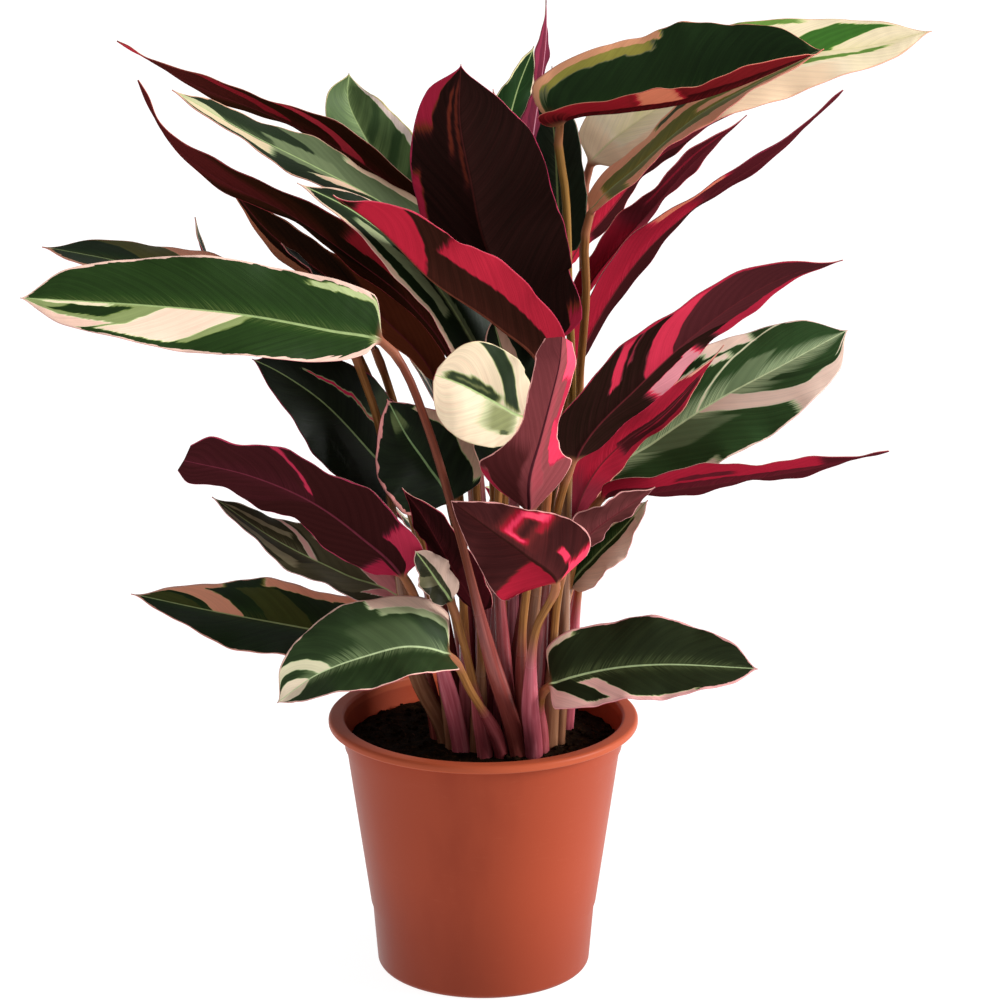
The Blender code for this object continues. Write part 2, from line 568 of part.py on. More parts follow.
def turned(name, profile, sides):
    """Return a mesh turned from a profile about the pot's axis."""
    shape = bmesh.new()
    verts = [shape.verts.new((radius * MM, 0.0, height * MM)) for radius, height in profile]
    edges = [shape.edges.new(pair) for pair in zip(verts, verts[1:])]
    bmesh.ops.spin(shape, geom=verts + edges, cent=(0, 0, 0), axis=(0, 0, 1), angle=math.tau, steps=sides,
                   use_merge=True, use_duplicate=False)
    bmesh.ops.remove_doubles(shape, verts=shape.verts, dist=WELD * MM)
    bmesh.ops.recalc_face_normals(shape, faces=shape.faces)
    mesh = bpy.data.meshes.new(name)
    shape.to_mesh(mesh)
    shape.free()
    return mesh


def cutter(name, spots, radius, low, high, sides):
    """Return a hidden object of upright prisms to cut round holes with."""
    shape = bmesh.new()
    for spot in spots:
        place = Matrix.Translation((spot.x * MM, spot.y * MM, (low + high) / 2 * MM))
        bmesh.ops.create_cone(shape, cap_ends=True, segments=sides, radius1=radius * MM, radius2=radius * MM,
                              depth=(high - low) * MM, matrix=place)
    mesh = bpy.data.meshes.new(name)
    shape.to_mesh(mesh)
    shape.free()
    thing = bpy.data.objects.new(name, mesh)
    thing.hide_render = True
    thing.display_type = "WIRE"
    bpy.context.scene.collection.objects.link(thing)
    return thing


def cut(thing, tool):
    """Cut one object with another by a Boolean modifier."""
    change = thing.modifiers.new("holes", "BOOLEAN")
    change.operation = "DIFFERENCE"
    change.object = tool


def build_pot():
    """Build the pot with its drainage holes."""
    material = make_material("terracotta_plastic", (0.45, 0.10, 0.05), 0.42)
    pot = add_object("pot", turned("pot", pot_profile(), POT_SIDES), material)
    angles = [math.tau * (index + 0.5) / DRAIN_COUNT for index in range(DRAIN_COUNT)]
    spots = [Vector((DRAIN_RING * math.cos(angle), DRAIN_RING * math.sin(angle), 0.0)) for angle in angles]
    cut(pot, cutter("drain_cutter", spots, DRAIN_RADIUS, -CUT_PAST, FLOOR + CUT_PAST, DRAIN_SIDES))


def build_soil():
    """Build the soil with one plain hole for each sheath."""
    low = FLOOR + CLEARANCE
    edge = SOIL_TOP - SOIL_CROWN
    low_radius = inner_radius(low) - CLEARANCE
    edge_radius = inner_radius(edge) - CLEARANCE
    profile = [(0.0, low), (low_radius, low), (edge_radius, edge), (edge_radius - SOIL_SLOPE, SOIL_TOP),
               (0.0, SOIL_TOP)]
    material = make_material("potting_soil", (0.02, 0.014, 0.01), 0.95)
    soil = add_object("soil", turned("soil", profile, POT_SIDES), material)
    spots = [seat_point(leaf.seat) for leaf in LEAVES]
    radius = (SHEATH_RADIUS + CLEARANCE) / math.cos(math.pi / HOLE_SIDES)
    cut(soil, cutter("hole_cutter", spots, radius, SOIL_TOP - HOLE_DEPTH, SOIL_TOP + CUT_PAST, HOLE_SIDES))


def leaf_tone(leaf):
    """Return the name of the leaf's tone: its own, or that of the face it turns to the viewer."""
    return leaf.tone or ("maroon" if leaf.turn > 90 else "green")


def main():
    """Clear the scene and build the potted plant."""
    for thing in list(bpy.data.objects):
        bpy.data.objects.remove(thing)
    build_pot()
    build_soil()
    materials = {tone: make_material(f"leaf_{tone}", colour, 0.35) for tone, colour in TONES.items()}
    for leaf in LEAVES:
        build_leaf(leaf, materials[leaf_tone(leaf)])


main()
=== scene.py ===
import json
import logging
import math
import random
from dataclasses import dataclass, replace
from enum import Enum
from typing import Optional, Sequence

import bmesh
import bpy
from mathutils import Matrix, Vector, noise

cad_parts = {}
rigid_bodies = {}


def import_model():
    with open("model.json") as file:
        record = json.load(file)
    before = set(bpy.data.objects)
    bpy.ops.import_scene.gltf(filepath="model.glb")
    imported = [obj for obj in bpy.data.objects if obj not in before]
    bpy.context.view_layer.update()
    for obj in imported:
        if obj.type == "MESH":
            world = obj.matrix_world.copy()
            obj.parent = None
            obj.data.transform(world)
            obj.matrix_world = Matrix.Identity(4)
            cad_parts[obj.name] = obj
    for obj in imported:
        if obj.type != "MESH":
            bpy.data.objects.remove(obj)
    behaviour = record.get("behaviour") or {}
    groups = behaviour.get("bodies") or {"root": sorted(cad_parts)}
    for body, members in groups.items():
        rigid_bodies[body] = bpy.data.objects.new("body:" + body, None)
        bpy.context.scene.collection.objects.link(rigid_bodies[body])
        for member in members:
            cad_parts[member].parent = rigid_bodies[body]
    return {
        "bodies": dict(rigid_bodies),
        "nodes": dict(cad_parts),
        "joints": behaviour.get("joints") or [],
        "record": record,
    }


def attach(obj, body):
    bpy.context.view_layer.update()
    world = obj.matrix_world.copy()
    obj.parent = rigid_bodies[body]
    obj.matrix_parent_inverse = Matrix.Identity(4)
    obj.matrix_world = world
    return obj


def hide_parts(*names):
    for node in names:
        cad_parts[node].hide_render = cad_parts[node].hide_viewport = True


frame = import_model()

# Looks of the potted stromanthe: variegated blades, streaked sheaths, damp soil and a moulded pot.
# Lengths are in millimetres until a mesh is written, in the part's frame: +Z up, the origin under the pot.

logging.basicConfig(level=logging.INFO, format="%(message)s")
LOG = logging.getLogger("potted_stromanthe")

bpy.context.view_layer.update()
BODY = "root"
MM = 0.001
WELD = 0.001
SHARP_ANGLE = 35.0
VEIN_CURVE = 1.2

# The viewer: leaves are laid out on sight lines through a square frame of 1000 by 1000 steps
FRAME = 1000.0
FRAME_REACH = 4238.0
VIEWER_ASIDE = 9.2
VIEWER_BACK = 2200.0
VIEWER_HEIGHT = 915.0
VIEWER_PITCH = math.radians(16.4)
RIGHT = (1.0, 0.0, 0.0)
LEFT = (-1.0, 0.0, 0.0)

# The crown, where the sheaths stand side by side
SOIL_TOP = 133.0
CROWN_ACROSS = 10.0
CROWN_ALONG = -4.0
SEAT_SPACING = 8.8
ROW_SPACING = SEAT_SPACING * math.sqrt(0.75)
HOLE_DEPTH = 24.0
STRAIGHT = 2.0
CLEARANCE = 0.3

# The blades
DRIP_TIP = 0.12
LOBE_REACH = 0.2
TIP_HALF = 0.2


class Side(Enum):
    """A half of a blade: LEAD is the one that its lead direction names, TRAIL the other."""

    LEAD = 1
    TRAIL = -1
    BOTH = 0


class Run(Enum):
    """How a band of colour runs: along the side veins, or along the blade's length."""

    VEIN = "vein"
    LENGTH = "length"


LEAD, TRAIL, BOTH, LENGTH = Side.LEAD, Side.TRAIL, Side.BOTH, Run.LENGTH

# Settings that many nodes share
SMOOTH = {"interpolation_type": "SMOOTHSTEP"}
TIMES = {"operation": "MULTIPLY"}
TIMES_PLUS = {"operation": "MULTIPLY_ADD"}
LESS = {"operation": "SUBTRACT"}
ABSOLUTE = {"operation": "ABSOLUTE"}
RGBA = {"data_type": "RGBA"}
FLOAT = {"data_type": "FLOAT"}

Sight = tuple[float, float, float]
Sockets = dict[str, bpy.types.NodeSocket]


class Material(Enum):
    """The record's material slots."""

    POT = "terracotta_plastic"
    SOIL = "potting_soil"
    GREEN = "leaf_green"
    MAROON = "leaf_maroon"
    CRIMSON = "leaf_crimson"
    CREAM = "leaf_cream"


def linear(code: str) -> tuple[float, float, float, float]:
    """Turn an sRGB hex value into a linear colour.

    Args:
        code: Six hex digits after a hash sign.

    Returns:
        Linear red, green, blue and an alpha of one.
    """
    shares = [int(code[index:index + 2], 16) / 255 for index in (1, 3, 5)]
    red, green, blue = (s / 12.92 if s <= 0.04045 else ((s + 0.055) / 1.055) ** 2.4 for s in shares)
    return red, green, blue, 1.0


def add_node(tree: bpy.types.NodeTree, kind: str, settings: Optional[dict] = None,
             inputs: Optional[dict] = None) -> bpy.types.Node:
    """Add a node to a tree with its settings and links.

    Args:
        tree: The material's node tree.
        kind: The node's type name without its ShaderNode prefix.
        settings: Properties to set on the node.
        inputs: Values or output sockets for the node's inputs, by name or index.

    Returns:
        The new node.
    """
    node = tree.nodes.new("ShaderNode" + kind)
    for name, value in (settings or {}).items():
        setattr(node, name, value)
    for name, value in (inputs or {}).items():
        if isinstance(value, bpy.types.NodeSocket):
            tree.links.new(value, node.inputs[name])
        else:
            node.inputs[name].default_value = value
    return node


def fill_ramp(node: bpy.types.Node, stops: Sequence[tuple[float, str]]) -> bpy.types.Node:
    """Set the colours of a colour ramp.

    Args:
        node: A colour ramp node.
        stops: Pairs of position and hex colour, in rising order.

    Returns:
        The same node.
    """
    elements = node.color_ramp.elements
    while len(elements) < len(stops):
        elements.new(1.0)
    for element, (position, code) in zip(elements, stops):
        element.position = position
        element.color = linear(code)
    return node


def blank_material(name: str) -> tuple[bpy.types.Material, bpy.types.NodeTree, bpy.types.Node]:
    """Make a material that holds a shader and its output.

    Args:
        name: The material's name.

    Returns:
        The material, its node tree and its Principled shader.
    """
    material = bpy.data.materials.new(name)
    material.use_nodes = True
    return material, material.node_tree, material.node_tree.nodes["Principled BSDF"]


def new_object(name: str, data: bpy.types.ID) -> bpy.types.Object:
    """Put an object into the scene, at the origin.

    Args:
        name: The object's name.
        data: Its mesh, lamp or camera.

    Returns:
        The new object.
    """
    thing = bpy.data.objects.new(name, data)
    bpy.context.scene.collection.objects.link(thing)
    return thing


def new_mesh(name: str, shape: bmesh.types.BMesh,
             material: Optional[bpy.types.Material] = None) -> bpy.types.Mesh:
    """Turn a bmesh into a mesh.

    Args:
        name: The mesh's name.
        shape: The shape, in metres; it is freed.
        material: The mesh's material, if it has one yet.

    Returns:
        The new mesh.
    """
    mesh = bpy.data.meshes.new(name)
    shape.to_mesh(mesh)
    shape.free()
    if material:
        mesh.materials.append(material)
    return mesh


def spun(section: Sequence[tuple[float, float]], sides: int) -> bmesh.types.BMesh:
    """Spin a section round the pot's axis.

    Args:
        section: Points as radius and height in millimetres, from the axis and back to it.
        sides: Steps round the axis.

    Returns:
        The closed shape, in metres.
    """
    shape = bmesh.new()
    verts = [shape.verts.new((radius * MM, 0.0, height * MM)) for radius, height in section]
    edges = [shape.edges.new(pair) for pair in zip(verts, verts[1:])]
    bmesh.ops.spin(shape, geom=verts + edges, cent=(0, 0, 0), axis=(0, 0, 1), angle=math.tau,
                   steps=sides, use_merge=True, use_duplicate=False)
    bmesh.ops.remove_doubles(shape, verts=shape.verts, dist=WELD * MM)
    return shape


def eased(value: float, low: float, high: float) -> float:
    """Find how far a value is from low to high, with a slow start and a slow end.

    Args:
        value: The value.
        low: Where the share is zero.
        high: Where the share is one.

    Returns:
        The share, from zero to one.
    """
    share = min(max((value - low) / (high - low), 0.0), 1.0)
    return share * share * (3 - 2 * share)


def add_piece(name: str, shape: bmesh.types.BMesh, material: bpy.types.Material,
              replaced: Sequence[str] = ()) -> bpy.types.Object:
    """Turn a bmesh into a finished piece that rides on the pot's body.

    Args:
        name: The piece's name.
        shape: The finished shape, in metres; it is freed.
        material: The piece's finish.
        replaced: The CAD nodes that the piece stands for.

    Returns:
        The new object.
    """
    mesh = new_mesh(name, shape, material)
    mesh.shade_smooth()
    piece = new_object(name, mesh)
    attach(piece, BODY)
    if replaced:
        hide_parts(*replaced)
    LOG.info("%s: %d faces", name, len(mesh.polygons))
    return piece


def sight_point(across: float, down: float, depth: float) -> Vector:
    """Find the point that lies on a sight line at a depth behind the pot's axis.

    Args:
        across: Steps from the frame's left side.
        down: Steps from the frame's top.
        depth: Millimetres behind the pot's axis.

    Returns:
        The point in millimetres.
    """
    ahead = Vector((0.0, math.cos(VIEWER_PITCH), -math.sin(VIEWER_PITCH)))
    upward = Vector((0.0, math.sin(VIEWER_PITCH), math.cos(VIEWER_PITCH)))
    ray = ahead * FRAME_REACH + Vector(RIGHT) * (across - FRAME / 2) + upward * (FRAME / 2 - down)
    viewer = Vector((VIEWER_ASIDE, -VIEWER_BACK, VIEWER_HEIGHT))
    return viewer + ray * ((depth + VIEWER_BACK) / ray.y)


def between(start: Vector, end: Vector, low: float, high: float, at: float) -> Vector:
    """Find the point between two points whose parameters are low and high.

    Args:
        start: The point at the low parameter.
        end: The point at the high parameter.
        low: The first parameter.
        high: The last parameter.
        at: The parameter asked for.

    Returns:
        The point at that parameter.
    """
    return start + (end - start) * ((at - low) / (high - low))


def smooth_route(points: Sequence[Vector], steps: int) -> list[Vector]:
    """Run a centripetal Catmull-Rom curve through points.

    Args:
        points: The points that the curve passes.
        steps: Steps from each point to the next.

    Returns:
        The curve's points.
    """
    line = [points[0] * 2 - points[1], *points, points[-1] * 2 - points[-2]]
    route = []
    for a, b, c, d in zip(line, line[1:], line[2:], line[3:]):
        knots = [0.0]
        for start, end in ((a, b), (b, c), (c, d)):
            knots.append(knots[-1] + math.sqrt((end - start).length))
        ta, tb, tc, td = knots
        for step in range(steps):
            at = tb + (tc - tb) * step / steps
            ab, bc, cd = between(a, b, ta, tb, at), between(b, c, tb, tc, at), between(c, d, tc, td, at)
            abc, bcd = between(ab, bc, ta, tc, at), between(bc, cd, tb, td, at)
            route.append(between(abc, bcd, tb, tc, at))
    return route + [points[-1].copy()]


class Course:
    """The middle line of a leaf, walked by distance from its foot on the soil."""

    STEPS = 12

    def __init__(self, foot: Vector, stalk: Sequence[Vector], rib: Sequence[Vector]) -> None:
        """Lay the line through the foot, the stalk's points and the midrib's points.

        Args:
            foot: Where the sheath leaves the soil.
            stalk: Points that the stalk passes.
            rib: Points of the midrib from base to tip.
        """
        below = foot - Vector((0.0, 0.0, 2 * HOLE_DEPTH))
        self.route = smooth_route([below, foot, *stalk, *rib], self.STEPS)[self.STEPS:]
        self.lengths = [0.0]
        for a, b in zip(self.route, self.route[1:]):
            self.lengths.append(self.lengths[-1] + (b - a).length)
        self.total = self.lengths[-1]
        self.stalk = self.lengths[self.STEPS * (1 + len(stalk))]

    def at(self, distance: float) -> tuple[Vector, Vector]:
        """Find a place on the line.

        Args:
            distance: Millimetres from the foot.

        Returns:
            The point and the unit tangent there.
        """
        route, lengths = self.route, self.lengths
        index = 0
        while index < len(route) - 2 and lengths[index + 1] < distance:
            index += 1
        share = (distance - lengths[index]) / (lengths[index + 1] - lengths[index])
        share = min(max(share, 0.0), 1.0)
        behind = route[index] - route[max(index - 1, 0)]
        here = route[index + 1] - route[index]
        beyond = route[min(index + 2, len(route) - 1)] - route[index + 1]
        tangent = behind.lerp(here, 0.5 + share / 2) if share < 0.5 else here.lerp(beyond, share - 0.5)
        return route[index].lerp(route[index + 1], share), tangent.normalized()


@dataclass
class Frame:
    """A place on a leaf: its point, tangent, top normal and direction across the blade."""

    point: Vector
    tangent: Vector
    normal: Vector
    cross: Vector


@dataclass(frozen=True)
class Leaf:
    """One leaf: where its stalk stands, the sight points it follows and how its blade is turned.

    Widths are in millimetres and angles in degrees; the points run from the soil up and from base to tip.
    """

    name: str
    seat: tuple[int, int]
    stalk: tuple[Sight, ...]
    rib: tuple[Sight, ...]
    width: float
    turn: float
    fold: tuple[float, float] = (8.0, 8.0)
    wave: float = 2.0
    waves: float = 2.5
    lead: tuple[float, float, float] = (0.0, 0.0, 1.0)
    taper: float = 0.95
    widest: float = 0.42
    blunt: tuple[float, float] = (2.6, 2.6)
    skew: float = 0.0
    lobe: float = 0.0
    outline: tuple[tuple[float, float], ...] = ()
    tone: str = ""

    @property
    def number(self) -> int:
        """The leaf's number, which its name holds."""
        return int(self.name.split("_")[1])

    @property
    def slot(self) -> Material:
        """The record's slot: the leaf's own tone, or that of the face it turns to the viewer."""
        return Material("leaf_" + (self.tone or ("maroon" if self.turn > 90 else "green")))

    def foot(self) -> Vector:
        """Find the place on the soil where the leaf's sheath stands; seats are in staggered rows.

        Returns:
            The place in millimetres.
        """
        column, row = self.seat
        across = CROWN_ACROSS + SEAT_SPACING * (column + 0.5 * (row % 2))
        return Vector((across, CROWN_ALONG + ROW_SPACING * row, SOIL_TOP + STRAIGHT))

    def course(self) -> Course:
        """The leaf's middle line."""
        return Course(self.foot(), [sight_point(*spot) for spot in self.stalk],
                      [sight_point(*spot) for spot in self.rib])

    def half_width(self, along: float, half: int) -> float:
        """Find the width of one half of the blade: a blunt base, widest before the middle, and a drip tip.

        Args:
            along: Share of the blade's length, from base to tip.
            half: 0 for the lead half, 1 for the other.

        Returns:
            The half's width in millimetres.
        """
        if self.outline:
            share = self.outline_share(along)
        elif along <= self.widest:
            blunt = self.blunt[half]
            share = max(1.0 - (1.0 - along / self.widest) ** blunt, 0.0) ** (1.0 / blunt)
        else:
            past = (along - self.widest) / (1.0 - self.widest)
            share = max(math.cos(math.pi / 2 * past), 0.0) ** self.taper
            tip = min((1.0 - along) / DRIP_TIP, 1.0)
            share *= tip * (2.0 - tip)
        skew = 1.0 - self.skew if half else 1.0 + self.skew
        return max(self.width / 2 * skew * share, TIP_HALF)

    def outline_share(self, along: float) -> float:
        """Find the share of the half width at a place, on a smooth curve through the leaf's own outline.

        Args:
            along: Share of the blade's length.

        Returns:
            The share there.
        """
        spots = self.outline
        last = len(spots) - 1
        index = next((index for index in range(1, last) if along <= spots[index][0]), last)
        slopes = []
        for place in (index - 1, index):
            before, after = spots[max(place - 1, 0)], spots[min(place + 1, last)]
            slopes.append((after[1] - before[1]) / (after[0] - before[0]))
        (low, first), (high, second) = spots[index - 1], spots[index]
        part = (along - low) / (high - low)
        rest = 1.0 - part
        level = first * (1 + 2 * part) * rest * rest + second * (1 + 2 * rest) * part * part
        return level + (high - low) * part * rest * (slopes[0] * rest - slopes[1] * part)


@dataclass(frozen=True)
class Mark:
    """A band of one tone on a blade: where it starts and ends along its run, and how far it reaches across.

    Along the veins start and end are shares of the blade's length where the band meets the midrib, and near
    and far are shares of the half width. Along the length near and far are places across the blade from -1
    to 1.
    """

    side: Side
    start: float
    end: float
    tone: float
    near: float = -0.1
    far: float = 1.2
    run: Run = Run.VEIN
    soft: float = 1.0

    VEIN_SOFT = 0.006
    REACH_SOFT = 0.03
    LENGTH_SOFT = 0.02

    def limits(self) -> tuple[tuple[str, float, float, float], ...]:
        """Find the mark's limits along its run and across it.

        Returns:
            For each, the coordinate that it is on, its start, its end and half the width of its soft ends.
        """
        if self.run is Run.VEIN:
            return (("vein", self.start, self.end, self.VEIN_SOFT * self.soft),
                    ("reach", self.near, self.far, self.REACH_SOFT * self.soft))
        return (("along", self.start, self.end, self.LENGTH_SOFT * self.soft),
                ("side", self.near, self.far, self.LENGTH_SOFT * self.soft))


@dataclass(frozen=True)
class WaxyLeaf:
    """Variegated leaf, grown with a waxy skin: a satin gloss over bands of colour along the side veins.

    Rims are in millimetres for the lead half and the other, and each palette runs from the darkest tone to
    the palest at STOPS.
    """

    PLACE = "blade_place"
    EDGE = "blade_edge"
    STEM = "stalk_place"

    ground: float = 0.1
    marks: tuple[Mark, ...] = ()
    top: tuple[str, ...] = ("#0f190b", "#1e3d1a", "#718051", "#c3cf96", "#f2dcc0", "#eebfae")
    under: tuple[str, ...] = ("#22120f", "#3c191b", "#661e2b", "#a81d34", "#dc3a55", "#f06a7b")
    rim: tuple[float, float] = (0.9, 0.9)
    rim_base: float = 1.0
    rim_top: str = "#e3b7a2"
    rim_under: str = "#c8536a"
    rib_top: str = "#9fb377"
    rib_under: str = "#5a2226"
    feather: float = 0.2
    slant: float = 0.24
    sheath: tuple[str, str, str] = ("#641e34", "#93405a", "#b8687c")
    stalk: tuple[str, str, str] = ("#6a4628", "#946a3a", "#b48a56")
    knee: str = "#a5664c"

    GLOSS = 0.12
    WET_GLOSS = 0.45
    WET = 0.26
    DRY = 0.42
    BLADE_ROUGH = (0.42, 0.52)
    FACE = {"From Min": 0.45, "From Max": 0.55}
    MOTTLE = 0.16
    RIB_HALF = (1.1, 0.35)
    RIM_VARIES = (0.15, 1.2)
    FINE_VEINS = (0.92, 1.08)
    MAIN_VEINS = (0.07, 0.02)
    # Streaks about half a millimetre wide and fifty long on a stalk two millimetres thick
    STEM_STREAKS = (1.9, 1.9, 1 / 50)
    # Each noise's grain along the blade in millimetres, and its number of cells across
    GRAINS = (("jag", 1.6, 1.1), ("shift", 9.0, 2.5), ("streak", 0.9, 0.9))
    # The noise by which each limit of a mark wanders, how far, and what centres it
    WANDERS = (("vein", "shift", 0.05, -0.025), ("reach", "jag", 0.14, -0.07),
               ("side", "shift", 0.16, -0.08), ("along", "jag", 0.05, 0.0))
    MAIN_VEIN_SPACING = 8.5
    STOPS = (0.0, 0.2, 0.45, 0.7, 0.88, 1.0)
    STEM_STOPS = (0.24, 0.5, 0.78)
    KNEE = (-16.0, -9.0)

    def build(self, leaf: Leaf, length: float, sheath: float) -> bpy.types.Material:
        """Make the leaf's material.

        Args:
            leaf: The leaf, whose name and number the material takes.
            length: The blade's length in millimetres.
            sheath: The sheath's height in millimetres.

        Returns:
            The finished material.
        """
        material, tree, shader = blank_material("waxy_" + leaf.name)
        spot = self.coordinates(tree, leaf.number, length)
        tone = self.tone(tree, spot)
        blade = self.blade_colour(tree, spot, tone, length)
        stem, wet = self.stem_colour(tree, spot, length, sheath)
        opened = add_node(tree, "MapRange", SMOOTH, {"Value": spot["along"], "From Max": 0.03})
        colour = add_node(tree, "Mix", RGBA, {0: opened.outputs[0], 6: stem, 7: blade})
        # Wax on the blade is satin, and the sheaths look wet
        gloss = add_node(tree, "MapRange", None, {"Value": spot["jag"], "From Min": 0.3, "From Max": 0.7,
                                                  "To Min": self.BLADE_ROUGH[0],
                                                  "To Max": self.BLADE_ROUGH[1]})
        rough = add_node(tree, "Mix", FLOAT, {0: opened.outputs[0], 2: wet, 3: gloss.outputs[0]})
        # Light is caught by the skin above and the wet sheaths, hardly by the dull underside
        caught = add_node(tree, "MapRange", None, {"Value": spot["face"], **self.FACE, "To Max": self.GLOSS})
        moist = add_node(tree, "MapRange", None, {"Value": wet, "From Min": self.WET, "From Max": self.DRY,
                                                  "To Min": self.WET_GLOSS, "To Max": self.GLOSS})
        level = add_node(tree, "Mix", FLOAT,
                         {0: opened.outputs[0], 2: moist.outputs[0], 3: caught.outputs[0]})
        for source, name in ((colour.outputs[2], "Base Color"), (rough.outputs[0], "Roughness"),
                             (level.outputs[0], "Specular IOR Level"), (self.relief(tree, spot), "Normal")):
            tree.links.new(source, shader.inputs[name])
        shader.inputs["IOR"].default_value = 1.45
        return material

    def coordinates(self, tree: bpy.types.NodeTree, number: int, length: float) -> Sockets:
        """Read the blade's own places and work out the vein coordinate and its noises.

        Args:
            tree: The material's node tree.
            number: The leaf's number, which sets its noises apart.
            length: The blade's length in millimetres.

        Returns:
            Output sockets by name.
        """
        vectors = [add_node(tree, "Attribute", {"attribute_name": name}).outputs["Vector"]
                   for name in (self.PLACE, self.EDGE)]
        place, edge = [add_node(tree, "SeparateXYZ", None, {0: vector}) for vector in vectors]
        reach = add_node(tree, "Math", ABSOLUTE, {0: place.outputs["Y"]})
        curved = add_node(tree, "Math", {"operation": "POWER"}, {0: reach.outputs[0], 1: VEIN_CURVE})
        lean = add_node(tree, "Math", TIMES, {0: curved.outputs[0], 1: self.slant})
        vein = add_node(tree, "Math", LESS, {0: place.outputs["X"], 1: lean.outputs[0]})
        apart = add_node(tree, "Math", TIMES_PLUS, {0: place.outputs["Y"], 1: 0.7, 2: float(number)})
        sockets = {"along": place.outputs["X"], "side": place.outputs["Y"], "face": place.outputs["Z"],
                   "reach": reach.outputs[0], "from_rib": edge.outputs["X"], "from_rim": edge.outputs["Y"],
                   "vein": vein.outputs[0]}
        for name, grain, across in self.GRAINS:
            count = add_node(tree, "Math", TIMES, {0: vein.outputs[0], 1: length / grain})
            wide = add_node(tree, "Math", TIMES, {0: reach.outputs[0], 1: across})
            where = add_node(tree, "CombineXYZ", None,
                             {0: count.outputs[0], 1: wide.outputs[0], 2: apart.outputs[0]})
            grained = add_node(tree, "TexNoise", None,
                               {"Vector": where.outputs[0], "Scale": 1.0, "Detail": 2.0, "Roughness": 0.6})
            sockets[name] = grained.outputs["Fac"]
        return sockets

    @staticmethod
    def band_mask(tree: bpy.types.NodeTree, value: bpy.types.NodeSocket, start: float, end: float,
                  soft: float) -> bpy.types.NodeSocket:
        """Mask the places where a value is between two ends.

        Args:
            tree: The material's node tree.
            value: The value's socket.
            start: Where the band starts.
            end: Where it ends.
            soft: Half the width of its soft ends.

        Returns:
            The mask's socket.
        """
        rising, falling = (add_node(tree, "MapRange", SMOOTH, {
            "Value": value, "From Min": at - soft, "From Max": at + soft, "To Min": first, "To Max": last})
            for at, first, last in ((start, 0.0, 1.0), (end, 1.0, 0.0)))
        return add_node(tree, "Math", TIMES, {0: rising.outputs[0], 1: falling.outputs[0]}).outputs[0]

    def tone(self, tree: bpy.types.NodeTree, spot: Sockets) -> bpy.types.NodeSocket:
        """Lay the leaf's marks over its ground tone, later ones over earlier ones.

        Args:
            tree: The material's node tree.
            spot: The sockets of coordinates.

        Returns:
            The tone's socket, zero for the darkest and one for the palest.
        """
        # The marks' limits wander by a noise, so that their edges are as uneven as grown ones
        uneven = {}
        for name, wander, gain, offset in self.WANDERS:
            moved = add_node(tree, "Math", TIMES_PLUS, {0: spot[wander], 1: gain, 2: spot[name]})
            centred = add_node(tree, "Math", {"operation": "ADD"}, {0: moved.outputs[0], 1: offset})
            uneven[name] = centred.outputs[0]
        mottled = add_node(tree, "Math", TIMES_PLUS,
                           {0: spot["jag"], 1: self.MOTTLE, 2: self.ground - self.MOTTLE / 2})
        near = add_node(tree, "MapRange", SMOOTH, {"Value": uneven["reach"], "From Max": 0.4,
                                                   "To Min": self.feather, "To Max": 0.0})
        plume = add_node(tree, "MapRange", None,
                         {"Value": spot["streak"], "From Min": 0.25, "From Max": 0.65})
        tone = add_node(tree, "Math", TIMES_PLUS,
                        {0: near.outputs[0], 1: plume.outputs[0], 2: mottled.outputs[0]}).outputs[0]
        for mark in self.marks:
            masks = [self.band_mask(tree, uneven[name], *ends) for name, *ends in mark.limits()]
            if mark.side is not Side.BOTH:
                half = add_node(tree, "MapRange", None,
                                {"Value": spot["side"], "From Min": -0.01 * mark.side.value,
                                 "From Max": 0.01 * mark.side.value})
                masks.append(half.outputs[0])
            mask = masks[0]
            for other in masks[1:]:
                mask = add_node(tree, "Math", TIMES, {0: mask, 1: other}).outputs[0]
            tone = add_node(tree, "Mix", FLOAT, {0: mask, 2: tone, 3: mark.tone}).outputs[0]
        return tone

    def rib_and_rim(self, tree: bpy.types.NodeTree,
                    spot: Sockets) -> tuple[bpy.types.NodeSocket, bpy.types.NodeSocket]:
        """Mask the midrib, which narrows towards the tip, and the uneven pale margin.

        Args:
            tree: The material's node tree.
            spot: The sockets of coordinates.

        Returns:
            The midrib's mask and the margin's.
        """
        width = add_node(tree, "MapRange", None, {"Value": spot["along"], "To Min": self.RIB_HALF[0],
                                                  "To Max": self.RIB_HALF[1]})
        from_rib = add_node(tree, "Math", ABSOLUTE, {0: spot["from_rib"]})
        nearness = add_node(tree, "Math", {"operation": "DIVIDE"},
                            {0: from_rib.outputs[0], 1: width.outputs[0]})
        rib = add_node(tree, "MapRange", SMOOTH, {"Value": nearness.outputs[0], "From Min": 0.45,
                                                  "To Min": 0.85, "To Max": 0.0})
        rims = add_node(tree, "MapRange", None, {"Value": spot["side"], "From Min": -0.02, "From Max": 0.02,
                                                 "To Min": self.rim[1], "To Max": self.rim[0]})
        wide = add_node(tree, "MapRange", None, {"Value": spot["shift"], "From Min": 0.3, "From Max": 0.7,
                                                 "To Min": self.RIM_VARIES[0],
                                                 "To Max": self.RIM_VARIES[1]})
        uneven = add_node(tree, "Math", TIMES, {0: rims.outputs[0], 1: wide.outputs[0]})
        at_base = add_node(tree, "MapRange", None, {"Value": spot["along"], "From Max": 0.3,
                                                    "To Min": self.rim_base, "To Max": 1.0})
        edge = add_node(tree, "Math", TIMES, {0: uneven.outputs[0], 1: at_base.outputs[0]})
        inside = add_node(tree, "Math", LESS, {0: spot["from_rim"], 1: edge.outputs[0]})
        rim = add_node(tree, "MapRange", SMOOTH, {"Value": inside.outputs[0], "From Min": -0.12,
                                                  "From Max": 0.12, "To Min": 1.0, "To Max": 0.0})
        return rib.outputs[0], rim.outputs[0]

